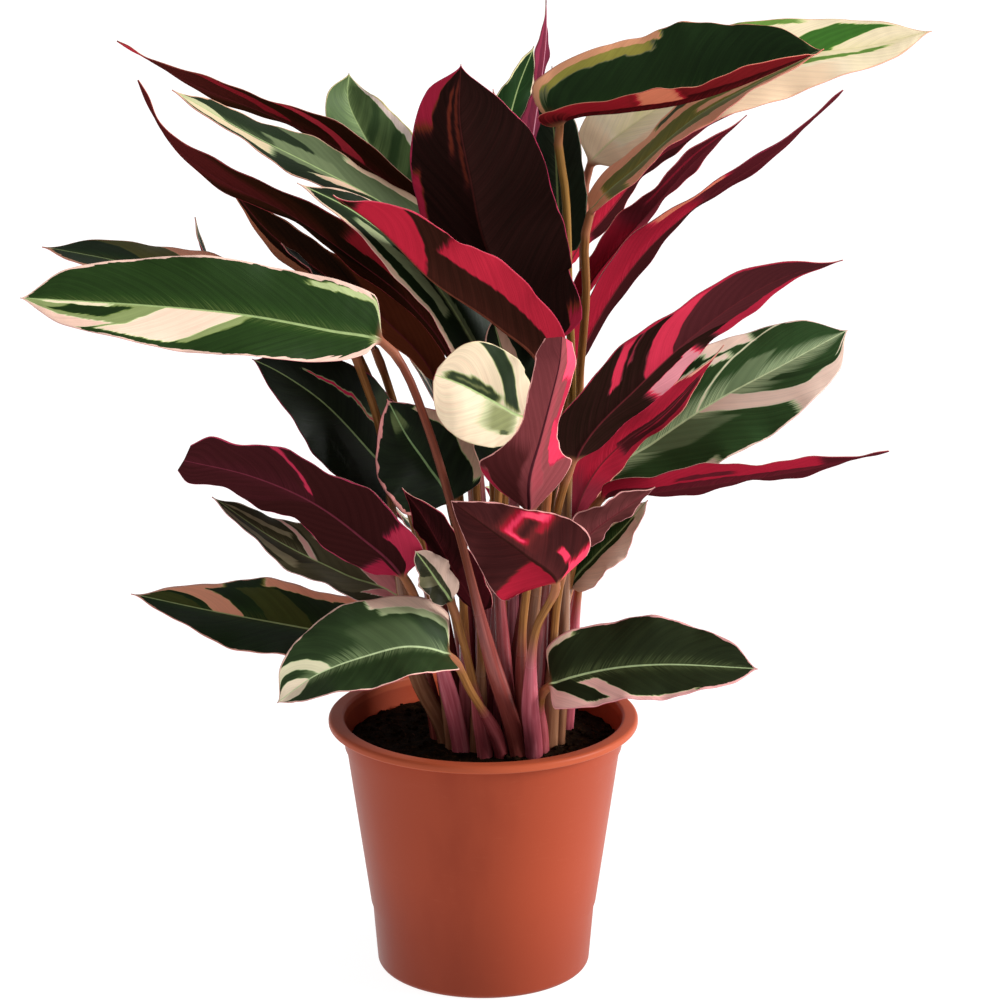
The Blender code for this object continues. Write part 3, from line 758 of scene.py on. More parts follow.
    def blade_colour(self, tree: bpy.types.NodeTree, spot: Sockets, tone: bpy.types.NodeSocket,
                     length: float) -> bpy.types.NodeSocket:
        """Colour both faces of the blade from its tone, then its midrib, margin and veins.

        Args:
            tree: The material's node tree.
            spot: The sockets of coordinates.
            tone: The tone's socket.
            length: The blade's length in millimetres.

        Returns:
            The colour's socket.
        """
        rib, rim = self.rib_and_rim(tree, spot)
        faces = []
        for colours, *tints in ((self.under, self.rib_under, self.rim_under),
                                (self.top, self.rib_top, self.rim_top)):
            ramp = fill_ramp(add_node(tree, "ValToRGB", None, {0: tone}), list(zip(self.STOPS, colours)))
            face = ramp.outputs[0]
            for mask, tint in zip((rib, rim), tints):
                face = add_node(tree, "Mix", RGBA, {0: mask, 6: face, 7: linear(tint)}).outputs[2]
            faces.append(face)
        turned = add_node(tree, "MapRange", None, {"Value": spot["face"], **self.FACE})
        both = add_node(tree, "Mix", RGBA, {0: turned.outputs[0], 6: faces[0], 7: faces[1]})
        # Fine veins are streaks of light and shade, and the main ones swell in even waves
        bright = add_node(tree, "MapRange", None, {"Value": spot["streak"], "From Min": 0.3, "From Max": 0.7,
                                                   "To Min": self.FINE_VEINS[0],
                                                   "To Max": self.FINE_VEINS[1]})
        turn = add_node(tree, "Math", TIMES, {0: spot["vein"], 1: math.tau * length / self.MAIN_VEIN_SPACING})
        swell = add_node(tree, "Math", {"operation": "SINE"}, {0: turn.outputs[0]})
        strong = add_node(tree, "MapRange", None,
                          {"Value": tone, "To Min": self.MAIN_VEINS[0], "To Max": self.MAIN_VEINS[1]})
        lit = add_node(tree, "Math", TIMES_PLUS,
                       {0: swell.outputs[0], 1: strong.outputs[0], 2: bright.outputs[0]})
        shaded = add_node(tree, "HueSaturation", None, {"Value": lit.outputs[0], "Color": both.outputs[2]})
        return shaded.outputs[0]

    def stem_colour(self, tree: bpy.types.NodeTree, spot: Sockets, length: float,
                    sheath: float) -> tuple[bpy.types.NodeSocket, bpy.types.NodeSocket]:
        """Colour the sheath, the stalk and its swollen knee, with streaks that run along them.

        Args:
            tree: The material's node tree.
            spot: The sockets of coordinates.
            length: The blade's length in millimetres.
            sheath: The sheath's height in millimetres.

        Returns:
            The colour's socket and the roughness's socket.
        """
        stem = add_node(tree, "Attribute", {"attribute_name": self.STEM})
        parts = add_node(tree, "SeparateXYZ", None, {0: stem.outputs["Vector"]})
        stretched = add_node(tree, "VectorMath", TIMES, {0: stem.outputs["Vector"], 1: self.STEM_STREAKS})
        moved = add_node(tree, "VectorMath", {"operation": "ADD"},
                         {0: stretched.outputs[0], 1: (sheath, length, 0.0)})
        streaks = add_node(tree, "TexNoise", None,
                           {"Vector": moved.outputs[0], "Scale": 1.0, "Detail": 3.0, "Roughness": 0.65})
        ramps = [fill_ramp(add_node(tree, "ValToRGB", None, {0: streaks.outputs["Fac"]}),
                           list(zip(self.STEM_STOPS, colours))) for colours in (self.sheath, self.stalk)]
        open_at = add_node(tree, "MapRange", SMOOTH,
                           {"Value": parts.outputs["Z"], "From Min": 0.75 * sheath,
                            "From Max": 1.15 * sheath})
        bare = add_node(tree, "Mix", RGBA,
                        {0: open_at.outputs[0], 6: ramps[0].outputs[0], 7: ramps[1].outputs[0]})
        knee = add_node(tree, "MapRange", SMOOTH, {"Value": spot["along"], "From Min": self.KNEE[0] / length,
                                                   "From Max": self.KNEE[1] / length, "To Max": 0.6})
        jointed = add_node(tree, "Mix", RGBA, {0: knee.outputs[0], 6: bare.outputs[2], 7: linear(self.knee)})
        wet = add_node(tree, "MapRange", None,
                       {"Value": open_at.outputs[0], "To Min": self.WET, "To Max": self.DRY})
        return jointed.outputs[2], wet.outputs[0]

    @staticmethod
    def relief(tree: bpy.types.NodeTree, spot: Sockets) -> bpy.types.NodeSocket:
        """Raise the fine side veins a fraction of a millimetre.

        Args:
            tree: The material's node tree.
            spot: The sockets of coordinates.

        Returns:
            The normal's socket.
        """
        height = add_node(tree, "Math", TIMES_PLUS, {0: spot["jag"], 1: 0.8, 2: spot["streak"]})
        bump = add_node(tree, "Bump", None,
                        {"Strength": 0.25, "Distance": 0.0003, "Height": height.outputs[0]})
        return bump.outputs[0]


@dataclass
class LeafPiece:
    """One leaf as a closed skin: a round sheath and stalk that open into a thin waved blade.

    Lengths are in millimetres; the neck, where the stalk opens, is a share of the blade's length.
    """

    leaf: Leaf
    finish: WaxyLeaf
    cells: int = 10
    blade_rings: int = 84
    stalk_rings: int = 30
    spread: float = 0.12
    end_spread: float = 0.1
    neck: float = 0.045
    neck_from: float = 0.011
    margin_thick: float = 0.45
    blade_thick: float = 0.7
    rib_rise: float = 1.5
    rib_reach: float = 1.3
    groove: float = 0.25
    groove_reach: float = 0.9
    crease: float = 1.2
    camber: float = 0.18
    ruffle: float = 0.45
    ruffles: float = 3.3
    pleat: float = 0.08
    pleat_spacing: float = 9.0
    flat_under: float = 8.0
    wave_offset: float = 2.1
    carry_step: float = 4.0
    sheath_wide: float = 5.0
    sheath_thick: float = 4.0
    stalk_radius: float = 2.2
    pulvinus: float = 14.0
    swelling: float = 0.16
    sheath_share: tuple[float, float] = (0.42, 0.66)
    sheath_narrows: tuple[float, float] = (0.35, 1.1)

    def __post_init__(self) -> None:
        """Find the leaf's middle line, the length of its blade and the height of its sheath."""
        self.course = self.leaf.course()
        self.blade_length = self.course.total - self.course.stalk
        self.sheath = self.course.stalk * random.Random(self.leaf.number).uniform(*self.sheath_share)

    def stations(self) -> tuple[list[float], list[float]]:
        """Space the rings, closer at the blade's ends.

        Returns:
            Distances of the stalk's rings from the foot, and shares of the blade's length for its rings.
        """
        stalk = [self.course.stalk * step / self.stalk_rings for step in range(self.stalk_rings)]
        steps = [step / self.blade_rings for step in range(self.blade_rings + 1)]
        return stalk, [step - self.end_spread * math.sin(math.tau * step) for step in steps]

    def sides(self) -> list[float]:
        """Space the points across the blade, closer at the midrib and at both margins.

        Returns:
            Places from -1 to 1.
        """
        steps = [step / self.cells for step in range(self.cells + 1)]
        half = [step - self.spread * math.sin(math.tau * step) for step in steps]
        return [-place for place in reversed(half)] + half[1:]

    def places(self) -> list[tuple[float, float, bool]]:
        """Go round a ring, top side first.

        Returns:
            For each point its angle on the stalk, its place across the blade and whether it is on top.
        """
        sides = self.sides()
        count = len(sides)
        return [(math.pi * (1.0 - (index + 0.5) / count), side, index < count)
                for index, side in enumerate(sides + sides[::-1])]

    def frames(self, distances: Sequence[float]) -> list[Frame]:
        """Find the frame at each distance, carried along the leaf from the blade's middle.

        Args:
            distances: Millimetres from the foot.

        Returns:
            One frame for each distance.
        """
        leaf, course = self.leaf, self.course
        middle_at = course.stalk + 0.5 * self.blade_length
        middle, tangent = course.at(middle_at)
        sight = (Vector((VIEWER_ASIDE, -VIEWER_BACK, VIEWER_HEIGHT)) - middle).normalized()
        facing = (sight - tangent * sight.dot(tangent)).normalized()
        aside = tangent.cross(facing)
        if aside.dot(Vector(leaf.lead)) < 0:
            aside.negate()
        turn = math.radians(leaf.turn)
        normal = facing * math.cos(turn) + aside * math.sin(turn)
        across = aside * math.cos(turn) - facing * math.sin(turn)
        hand = 1.0 if across.dot(tangent.cross(normal)) > 0 else -1.0
        normals = self.carried_normals(distances, middle_at, normal)
        found = []
        for distance, normal in zip(distances, normals):
            point, tangent = course.at(distance)
            found.append(Frame(point, tangent, normal, tangent.cross(normal) * hand))
        return found

    def carried_normals(self, distances: Sequence[float], middle_at: float, normal: Vector) -> list[Vector]:
        """Carry the normal at the blade's middle along the course, without turning about it.

        Args:
            distances: Millimetres from the foot, in rising order.
            middle_at: The distance of the blade's middle.
            normal: The top normal there.

        Returns:
            One normal for each distance.
        """
        carried = {}
        ahead = [index for index, distance in enumerate(distances) if distance >= middle_at]
        behind = [index for index, distance in enumerate(distances) if distance < middle_at]
        for order in (ahead, behind[::-1]):
            current, reached = normal.copy(), middle_at
            for index in order:
                hops = max(int(abs(distances[index] - reached) / self.carry_step), 1)
                for hop in range(hops):
                    _, tangent = self.course.at(reached + (distances[index] - reached) * (hop + 1) / hops)
                    current = (current - tangent * current.dot(tangent)).normalized()
                reached = distances[index]
                carried[index] = current.copy()
        return [carried[index] for index in range(len(distances))]

    def blade_point(self, frame: Frame, along: float, side: float, top: bool) -> Vector:
        """Find a point of the blade's skin.

        Args:
            frame: The frame of the point's ring.
            along: Share of the blade's length.
            side: Place across the blade, from -1 to 1.
            top: Whether the point is on the top face.

        Returns:
            The point in millimetres.
        """
        leaf = self.leaf
        half = 0 if side >= 0 else 1
        hand = 1.0 if side >= 0 else -1.0
        width = leaf.half_width(along, half)
        fold = math.radians(leaf.fold[half]) * min(width / self.flat_under, 1.0)
        reach = abs(side)
        edge = reach * (1.0 - reach)
        away = reach * width
        slope = math.hypot(away, self.crease)
        ends = math.sin(math.pi * along)
        phase = math.tau * leaf.waves * along + self.wave_offset * half
        ripple = leaf.wave * math.sin(phase) * ends * reach ** 2
        ruffle = self.ruffle * math.sin(phase * self.ruffles) * ends * reach ** 4
        camber = self.camber * width * edge * ends
        vein = along - self.finish.slant * reach ** VEIN_CURVE
        pleat = 4 * self.pleat * edge * math.sin(math.tau * vein * self.blade_length / self.pleat_spacing)
        rise = (slope - self.crease) * math.sin(fold) + ripple + ruffle + camber + pleat
        drawn_back = leaf.lobe * reach ** 2 * max(1.0 - along / LOBE_REACH, 0.0) ** 2
        spot = frame.point + frame.cross * (side * width * math.cos(fold)) + frame.normal * rise
        spot -= frame.tangent * drawn_back
        lean = fold * away / slope
        facing = frame.normal * math.cos(lean) - frame.cross * (hand * math.sin(lean))
        thick = (self.margin_thick + (self.blade_thick - self.margin_thick) * (1.0 - reach)) / 2
        if top:
            groove = self.groove * (1.0 - along) * math.exp(-(away / self.groove_reach) ** 2)
            return spot + facing * (thick - groove)
        ridge = self.rib_rise * (1.0 - along) * math.exp(-(away / self.rib_reach) ** 2)
        return spot - facing * (thick + ridge)

    def stalk_sizes(self, distance: float) -> tuple[float, float]:
        """Find the half width and half thickness of the sheath and stalk.

        Args:
            distance: Millimetres from the foot.

        Returns:
            Half width and half thickness.
        """
        share = eased(distance, *(self.sheath * part for part in self.sheath_narrows))
        wide = self.sheath_wide + (self.stalk_radius - self.sheath_wide) * share
        thick = self.sheath_thick + (self.stalk_radius - self.sheath_thick) * share
        past = (distance - self.course.stalk + self.pulvinus) / self.pulvinus
        swollen = 1.0 + self.swelling * math.sin(math.pi * min(max(past, 0.0), 1.0))
        return wide * swollen, thick * swollen

    def ring(self, frame: Frame, distance: float, along: float) -> list[Vector]:
        """Find the points round the leaf at a station, top side first.

        Args:
            frame: The station's frame.
            distance: Millimetres from the foot.
            along: Share of the blade's length, zero on the stalk.

        Returns:
            The ring's points in millimetres.
        """
        share = eased(along, 0.0, self.neck)
        wide, thick = self.stalk_sizes(distance)
        points = []
        for angle, side, top in self.places():
            aside, above = math.cos(angle) * wide, math.sin(angle) * thick
            spot = frame.point + frame.cross * aside + frame.normal * above
            if share > 0.0:
                spot = spot.lerp(self.blade_point(frame, max(along, self.neck_from), side, top), share)
            points.append(spot)
        return points

    def rings(self) -> list[tuple[float, float, list[Vector]]]:
        """Lay every ring of the leaf, from the one sunk in its hole to the tip.

        Returns:
            For each ring its distance from the foot, its share of the blade's length and its points.
        """
        stalk, blade = self.stations()
        distances = stalk + [self.course.stalk + self.blade_length * along for along in blade]
        frames = self.frames(distances)
        foot = frames[0]
        hand = 1.0 if foot.tangent.cross(foot.normal).dot(foot.cross) > 0 else -1.0
        upward = Vector((0.0, 0.0, 1.0))
        flat = Vector((foot.normal.x, foot.normal.y, 0.0)).normalized()
        frames[0] = Frame(foot.point, upward, flat, upward.cross(flat) * hand)
        sunk = Frame(foot.point - upward * (HOLE_DEPTH + STRAIGHT - CLEARANCE), upward, flat, frames[0].cross)
        found = [(0.0, 0.0, self.ring(sunk, 0.0, 0.0))]
        for index, (distance, frame) in enumerate(zip(distances, frames)):
            along = blade[index - len(stalk)] if index >= len(stalk) else 0.0
            found.append((distance, along, self.ring(frame, distance, along)))
        return found

    def build(self) -> bmesh.types.BMesh:
        """Wrap a grid round the rings, close it at both ends and note each point's place on the leaf.

        Returns:
            The leaf's shape, in metres.
        """
        rings, places = self.rings(), self.places()
        around = len(places)
        shape = bmesh.new()
        layers = [shape.verts.layers.float_vector.new(name)
                  for name in (WaxyLeaf.PLACE, WaxyLeaf.EDGE, WaxyLeaf.STEM)]
        bmesh.ops.create_grid(shape, x_segments=around, y_segments=len(rings) - 1, size=1.0)
        shape.verts.ensure_lookup_table()
        for row, (distance, along, points) in enumerate(rings):
            widths = [self.leaf.half_width(along, half) for half in (0, 1)]
            share = (distance - self.course.stalk) / self.blade_length
            for column in range(around + 1):
                angle, side, top = places[column % around]
                width = widths[0 if side >= 0 else 1]
                vert = shape.verts[row * (around + 1) + column]
                vert.co = points[column % around] * MM
                notes = ((share, side, float(top)), (side * width, (1.0 - abs(side)) * width, 0.0),
                         (math.cos(angle), math.sin(angle), distance))
                for layer, note in zip(layers, notes):
                    vert[layer] = Vector(note)
        bmesh.ops.remove_doubles(shape, verts=shape.verts, dist=WELD * MM)
        bmesh.ops.holes_fill(shape, edges=[edge for edge in shape.edges if edge.is_boundary], sides=0)
        bmesh.ops.recalc_face_normals(shape, faces=shape.faces)
        return shape

    def dress(self, shape: bmesh.types.BMesh) -> bpy.types.Object:
        """Give the leaf its finish and put it in place of its CAD node.

        Args:
            shape: The leaf's finished shape.

        Returns:
            The finished piece.
        """
        material = self.finish.build(self.leaf, self.blade_length, self.sheath)
        return add_piece(self.leaf.name + "_skin", shape, material, [self.leaf.name])


@dataclass(frozen=True)
class NurseryPlastic:
    """Polypropylene, injection moulded: an even terracotta satin skin with faint flow marks."""

    body: str = "#9a3f25"
    shade: str = "#903820"
    worn: str = "#ac563c"
    # Painted highlight: the paler colour of the lip
    pale: str = "#bc5c3c"
    # Painted shade: the darker colour towards the foot
    foot_shade: str = "#7a2e1a"
    GRAIN = 0.35
    # Height in metres where the lip's painted highlight starts
    LIP_FROM = 0.1405
    # Height in metres where the painted shade towards the foot has faded out
    FOOT_SHADE_TO = 0.075

    def build(self) -> bpy.types.Material:
        """Make the pot's material.

        Returns:
            The finished material.
        """
        material, tree, shader = blank_material("moulded_terracotta_polypropylene")
        place = add_node(tree, "TexCoord")
        # The melt flows up the wall, so its clouds are about 40 mm wide and drawn out upwards
        flow = add_node(tree, "Mapping", None,
                        {"Vector": place.outputs["Object"], "Scale": (25.0, 25.0, 8.0)})
        clouds = add_node(tree, "TexNoise", None,
                          {"Vector": flow.outputs[0], "Scale": 1.0, "Detail": 4.0, "Roughness": 0.55})
        colour = fill_ramp(add_node(tree, "ValToRGB", None, {0: clouds.outputs["Fac"]}),
                           [(0.3, self.shade), (0.5, self.body), (0.75, self.body)])
        # Scuffs where pots rub together on the bench: short, sparse and a little paler
        rubbed = add_node(tree, "Mapping", None,
                          {"Vector": place.outputs["Object"], "Scale": (90.0, 90.0, 600.0)})
        scuffs = add_node(tree, "TexNoise", None,
                          {"Vector": rubbed.outputs[0], "Scale": 1.0, "Detail": 5.0, "Roughness": 0.7})
        scuffed = add_node(tree, "MapRange", None, {"Value": scuffs.outputs["Fac"], "From Min": 0.6,
                                                    "From Max": 0.8, "To Min": 0.0, "To Max": 0.35})
        skin = add_node(tree, "Mix", RGBA,
                        {0: scuffed.outputs[0], 6: colour.outputs[0], 7: linear(self.worn)})
        # The lip is painted paler, a painted highlight, and the wall painted darker towards the foot, painted
        # shade
        high = add_node(tree, "SeparateXYZ", None, {0: place.outputs["Object"]})
        lip = add_node(tree, "MapRange", None, {"Value": high.outputs["Z"], "From Min": self.LIP_FROM - 0.001,
                                                "From Max": self.LIP_FROM, "To Min": 0.0, "To Max": 0.55})
        low = add_node(tree, "MapRange", SMOOTH,
                       {"Value": high.outputs["Z"], "From Max": self.FOOT_SHADE_TO, "To Min": 0.6, "To Max": 0.0})
        # The lip's painted highlight
        bright = add_node(tree, "Mix", RGBA,
                          {0: lip.outputs[0], 6: skin.outputs[2], 7: linear(self.pale)})
        # The painted shade, darker towards the foot
        shaded_foot = add_node(tree, "Mix", RGBA,
                           {0: low.outputs[0], 6: bright.outputs[2], 7: linear(self.foot_shade)})
        tree.links.new(shaded_foot.outputs[2], shader.inputs["Base Color"])
        rough = add_node(tree, "MapRange", None, {"Value": clouds.outputs["Fac"], "From Min": 0.3,
                                                  "From Max": 0.7, "To Min": 0.36, "To Max": 0.46})
        tree.links.new(rough.outputs[0], shader.inputs["Roughness"])
        shader.inputs["Specular IOR Level"].default_value = 0.12
        # The mould's fine spark-eroded grain, about a third of a millimetre
        grain = add_node(tree, "TexNoise", None, {"Vector": place.outputs["Object"],
                                                  "Scale": 1.0 / (self.GRAIN * MM), "Detail": 2.0})
        bump = add_node(tree, "Bump", None, {"Strength": 0.12, "Distance": 0.0002,
                                             "Height": grain.outputs["Fac"]})
        tree.links.new(bump.outputs[0], shader.inputs["Normal"])
        return material


@dataclass
class NurseryPot:
    """The pot: a tapered wall with a stacking step, a set-in foot, a turned-out lip and drain holes.

    Sizes are in millimetres.
    """

    height: float = 145.0
    lip_radius: float = 85.0
    lip_depth: float = 4.5
    wall: float = 1.8
    lip_round: float = 1.2
    lip_turn: float = 2.0
    wall_top_radius: float = 78.0
    step_drop: float = 14.0
    step_width: float = 0.9
    step_slope: float = 3.0
    foot_height: float = 36.0
    foot_top_radius: float = 61.5
    foot_radius: float = 58.5
    foot_round: float = 4.5
    floor: float = 2.5
    floor_radius: float = 55.7
    base_rise: float = 0.8
    base_ring: float = 6.0
    gate_radius: float = 3.0
    gate_slope: float = 0.6
    base_step: float = 0.3
    foot_flare: float = 0.4
    sides: int = 160
    drain_radius: float = 4.5
    drain_ring: float = 42.0
    drain_count: int = 8
    drain_sides: int = 32

    def wall_radius(self, height: float) -> float:
        """Find the outer radius of the wall.

        Args:
            height: Millimetres above the underside.

        Returns:
            The radius in millimetres.
        """
        if height < self.foot_height:
            return self.foot_radius + (self.foot_top_radius - self.foot_radius) * height / self.foot_height
        share = (height - self.foot_height) / (self.height - self.lip_depth - self.foot_height)
        low = self.foot_top_radius + self.step_width
        return low + (self.wall_top_radius - low) * share

    def inner_radius(self, height: float) -> float:
        """Find the inner radius of the wall, a straight taper from the floor to the mouth.

        Args:
            height: Millimetres above the underside.

        Returns:
            The radius in millimetres.
        """
        high = self.wall_radius(self.height - self.lip_depth) - self.wall
        share = (height - self.floor) / (self.height - self.lip_turn - self.floor)
        return self.floor_radius + (high - self.floor_radius) * share

    @staticmethod
    def arc(centre: tuple[float, float], radius: float, start: float, end: float,
            steps: int = 6) -> list[tuple[float, float]]:
        """Lay points on an arc of the profile.

        Args:
            centre: Radius and height of the arc's centre.
            radius: The arc's radius.
            start: The first angle in degrees, from the outward direction.
            end: The last angle in degrees.
            steps: Spans between the points.

        Returns:
            The points as radius and height.
        """
        angles = [math.radians(start + (end - start) * step / steps) for step in range(steps + 1)]
        return [(centre[0] + radius * math.cos(a), centre[1] + radius * math.sin(a)) for a in angles]

    def profile(self) -> list[tuple[float, float]]:
        """Lay the pot's profile, from the middle of its underside round to the middle of its floor.

        Returns:
            Points as radius and height.
        """
        step = self.height - self.lip_depth - self.step_drop
        under_lip = self.height - self.lip_depth
        mouth = self.inner_radius(self.height - self.lip_turn)
        ring = self.foot_radius - self.foot_round - self.base_ring
        under = [(0.0, self.base_rise), (self.gate_radius, self.base_rise),
                 (self.gate_radius + self.gate_slope, self.base_rise + self.base_step),
                 (ring - self.base_rise, self.base_rise + self.base_step)]
        under += self.arc((ring, self.base_rise), self.base_rise, 180, 270, 4)
        foot_centre = self.foot_radius - self.foot_round + self.foot_flare
        foot = self.arc((foot_centre, self.foot_round), self.foot_round, -90, -12)
        rise = self.step_slope / 2
        foot += [(self.wall_radius(self.foot_height - rise), self.foot_height - rise),
                 (self.wall_radius(self.foot_height), self.foot_height + rise)]
        wall = [(self.wall_radius(step - rise) - self.step_width, step - rise),
                (self.wall_radius(step + rise), step + rise)]
        wall += self.arc((self.wall_radius(under_lip) + self.lip_round, under_lip - self.lip_round),
                         self.lip_round, 180, 90, 4)
        lip = self.arc((self.lip_radius - self.lip_round, under_lip + self.lip_round), self.lip_round, -90, 0)
        lip += self.arc((self.lip_radius - self.lip_turn, self.height - self.lip_turn), self.lip_turn, 0, 90)
        lip += self.arc((mouth + self.lip_turn, self.height - self.lip_turn), self.lip_turn, 90, 180)
        inside_centre = (self.inner_radius(self.floor) - self.wall, self.floor + self.wall)
        inside = self.arc(inside_centre, self.wall, 0, -90)
        return under + foot + wall + lip + inside + [(0.0, self.floor)]

    def build(self) -> bmesh.types.BMesh:
        """Spin the profile into the pot and cut its drain holes.

        Returns:
            The pot's shape, in metres.
        """
        shape = spun(self.profile(), self.sides)
        bmesh.ops.recalc_face_normals(shape, faces=shape.faces)
        return self.drained(shape)

    def drained(self, shape: bmesh.types.BMesh) -> bmesh.types.BMesh:
        """Cut the ring of drain holes through the floor.

        Args:
            shape: The pot without holes; it is freed.

        Returns:
            The pot with its holes.
        """
        tool = bmesh.new()
        for index in range(self.drain_count):
            angle = math.tau * (index + 0.5) / self.drain_count
            place = (self.drain_ring * math.cos(angle) * MM, self.drain_ring * math.sin(angle) * MM, 0.0)
            bmesh.ops.create_cone(tool, cap_ends=True, segments=self.drain_sides,
                                  radius1=self.drain_radius * MM, radius2=self.drain_radius * MM,
                                  depth=4 * self.floor * MM, matrix=Matrix.Translation(place))
        things = [new_object(name, new_mesh(name, source))
                  for name, source in (("pot_blank", shape), ("drain_tool", tool))]
        change = things[0].modifiers.new("drains", "BOOLEAN")
        change.operation = "DIFFERENCE"
        change.object = things[1]
        bpy.context.view_layer.update()
        finished = bmesh.new()
        finished.from_object(things[0], bpy.context.evaluated_depsgraph_get())
        for thing in things:
            mesh = thing.data
            bpy.data.objects.remove(thing)
            bpy.data.meshes.remove(mesh)
        return finished

    def dress(self, shape: bmesh.types.BMesh) -> bpy.types.Object:
        """Give the pot its plastic and put it in place of its CAD node.

        Args:
            shape: The pot's finished shape.

        Returns:
            The finished piece.
        """
        piece = add_piece("nursery_pot", shape, NurseryPlastic().build(), ["pot"])
        piece.data.set_sharp_from_angle(angle=math.radians(SHARP_ANGLE))
        return piece


@dataclass(frozen=True)
class PeatMix:
    """Damp peat potting mix, crumbly and matt: near-black crumbs with a few brown ones."""

    dark: str = "#100a05"
    body: str = "#20150c"
    crumb: str = "#463018"

    def build(self) -> bpy.types.Material:
        """Make the soil's material.

        Returns:
            The finished material.
        """
        material, tree, shader = blank_material("damp_peat_mix")
        place = add_node(tree, "TexCoord")
        # Crumbs run from one to five millimetres
        crumbs = add_node(tree, "TexNoise", None,
                          {"Vector": place.outputs["Object"], "Scale": 320.0, "Detail": 6.0,
                           "Roughness": 0.7})
        colour = fill_ramp(add_node(tree, "ValToRGB", None, {0: crumbs.outputs["Fac"]}),
                           [(0.36, self.dark), (0.55, self.body), (0.74, self.crumb)])
        tree.links.new(colour.outputs[0], shader.inputs["Base Color"])
        rough = add_node(tree, "MapRange", None, {"Value": crumbs.outputs["Fac"], "From Min": 0.3,
                                                  "From Max": 0.7, "To Min": 0.7, "To Max": 0.95})
        tree.links.new(rough.outputs[0], shader.inputs["Roughness"])
        shader.inputs["Specular IOR Level"].default_value = 0.02
        cells = add_node(tree, "TexVoronoi", None, {"Vector": place.outputs["Object"], "Scale": 420.0})
        height = add_node(tree, "Math", TIMES_PLUS,
                          {0: cells.outputs["Distance"], 1: 0.6, 2: crumbs.outputs["Fac"]})
        bump = add_node(tree, "Bump", None,
                        {"Strength": 0.8, "Distance": 0.0012, "Height": height.outputs[0]})
        tree.links.new(bump.outputs[0], shader.inputs["Normal"])
        return material


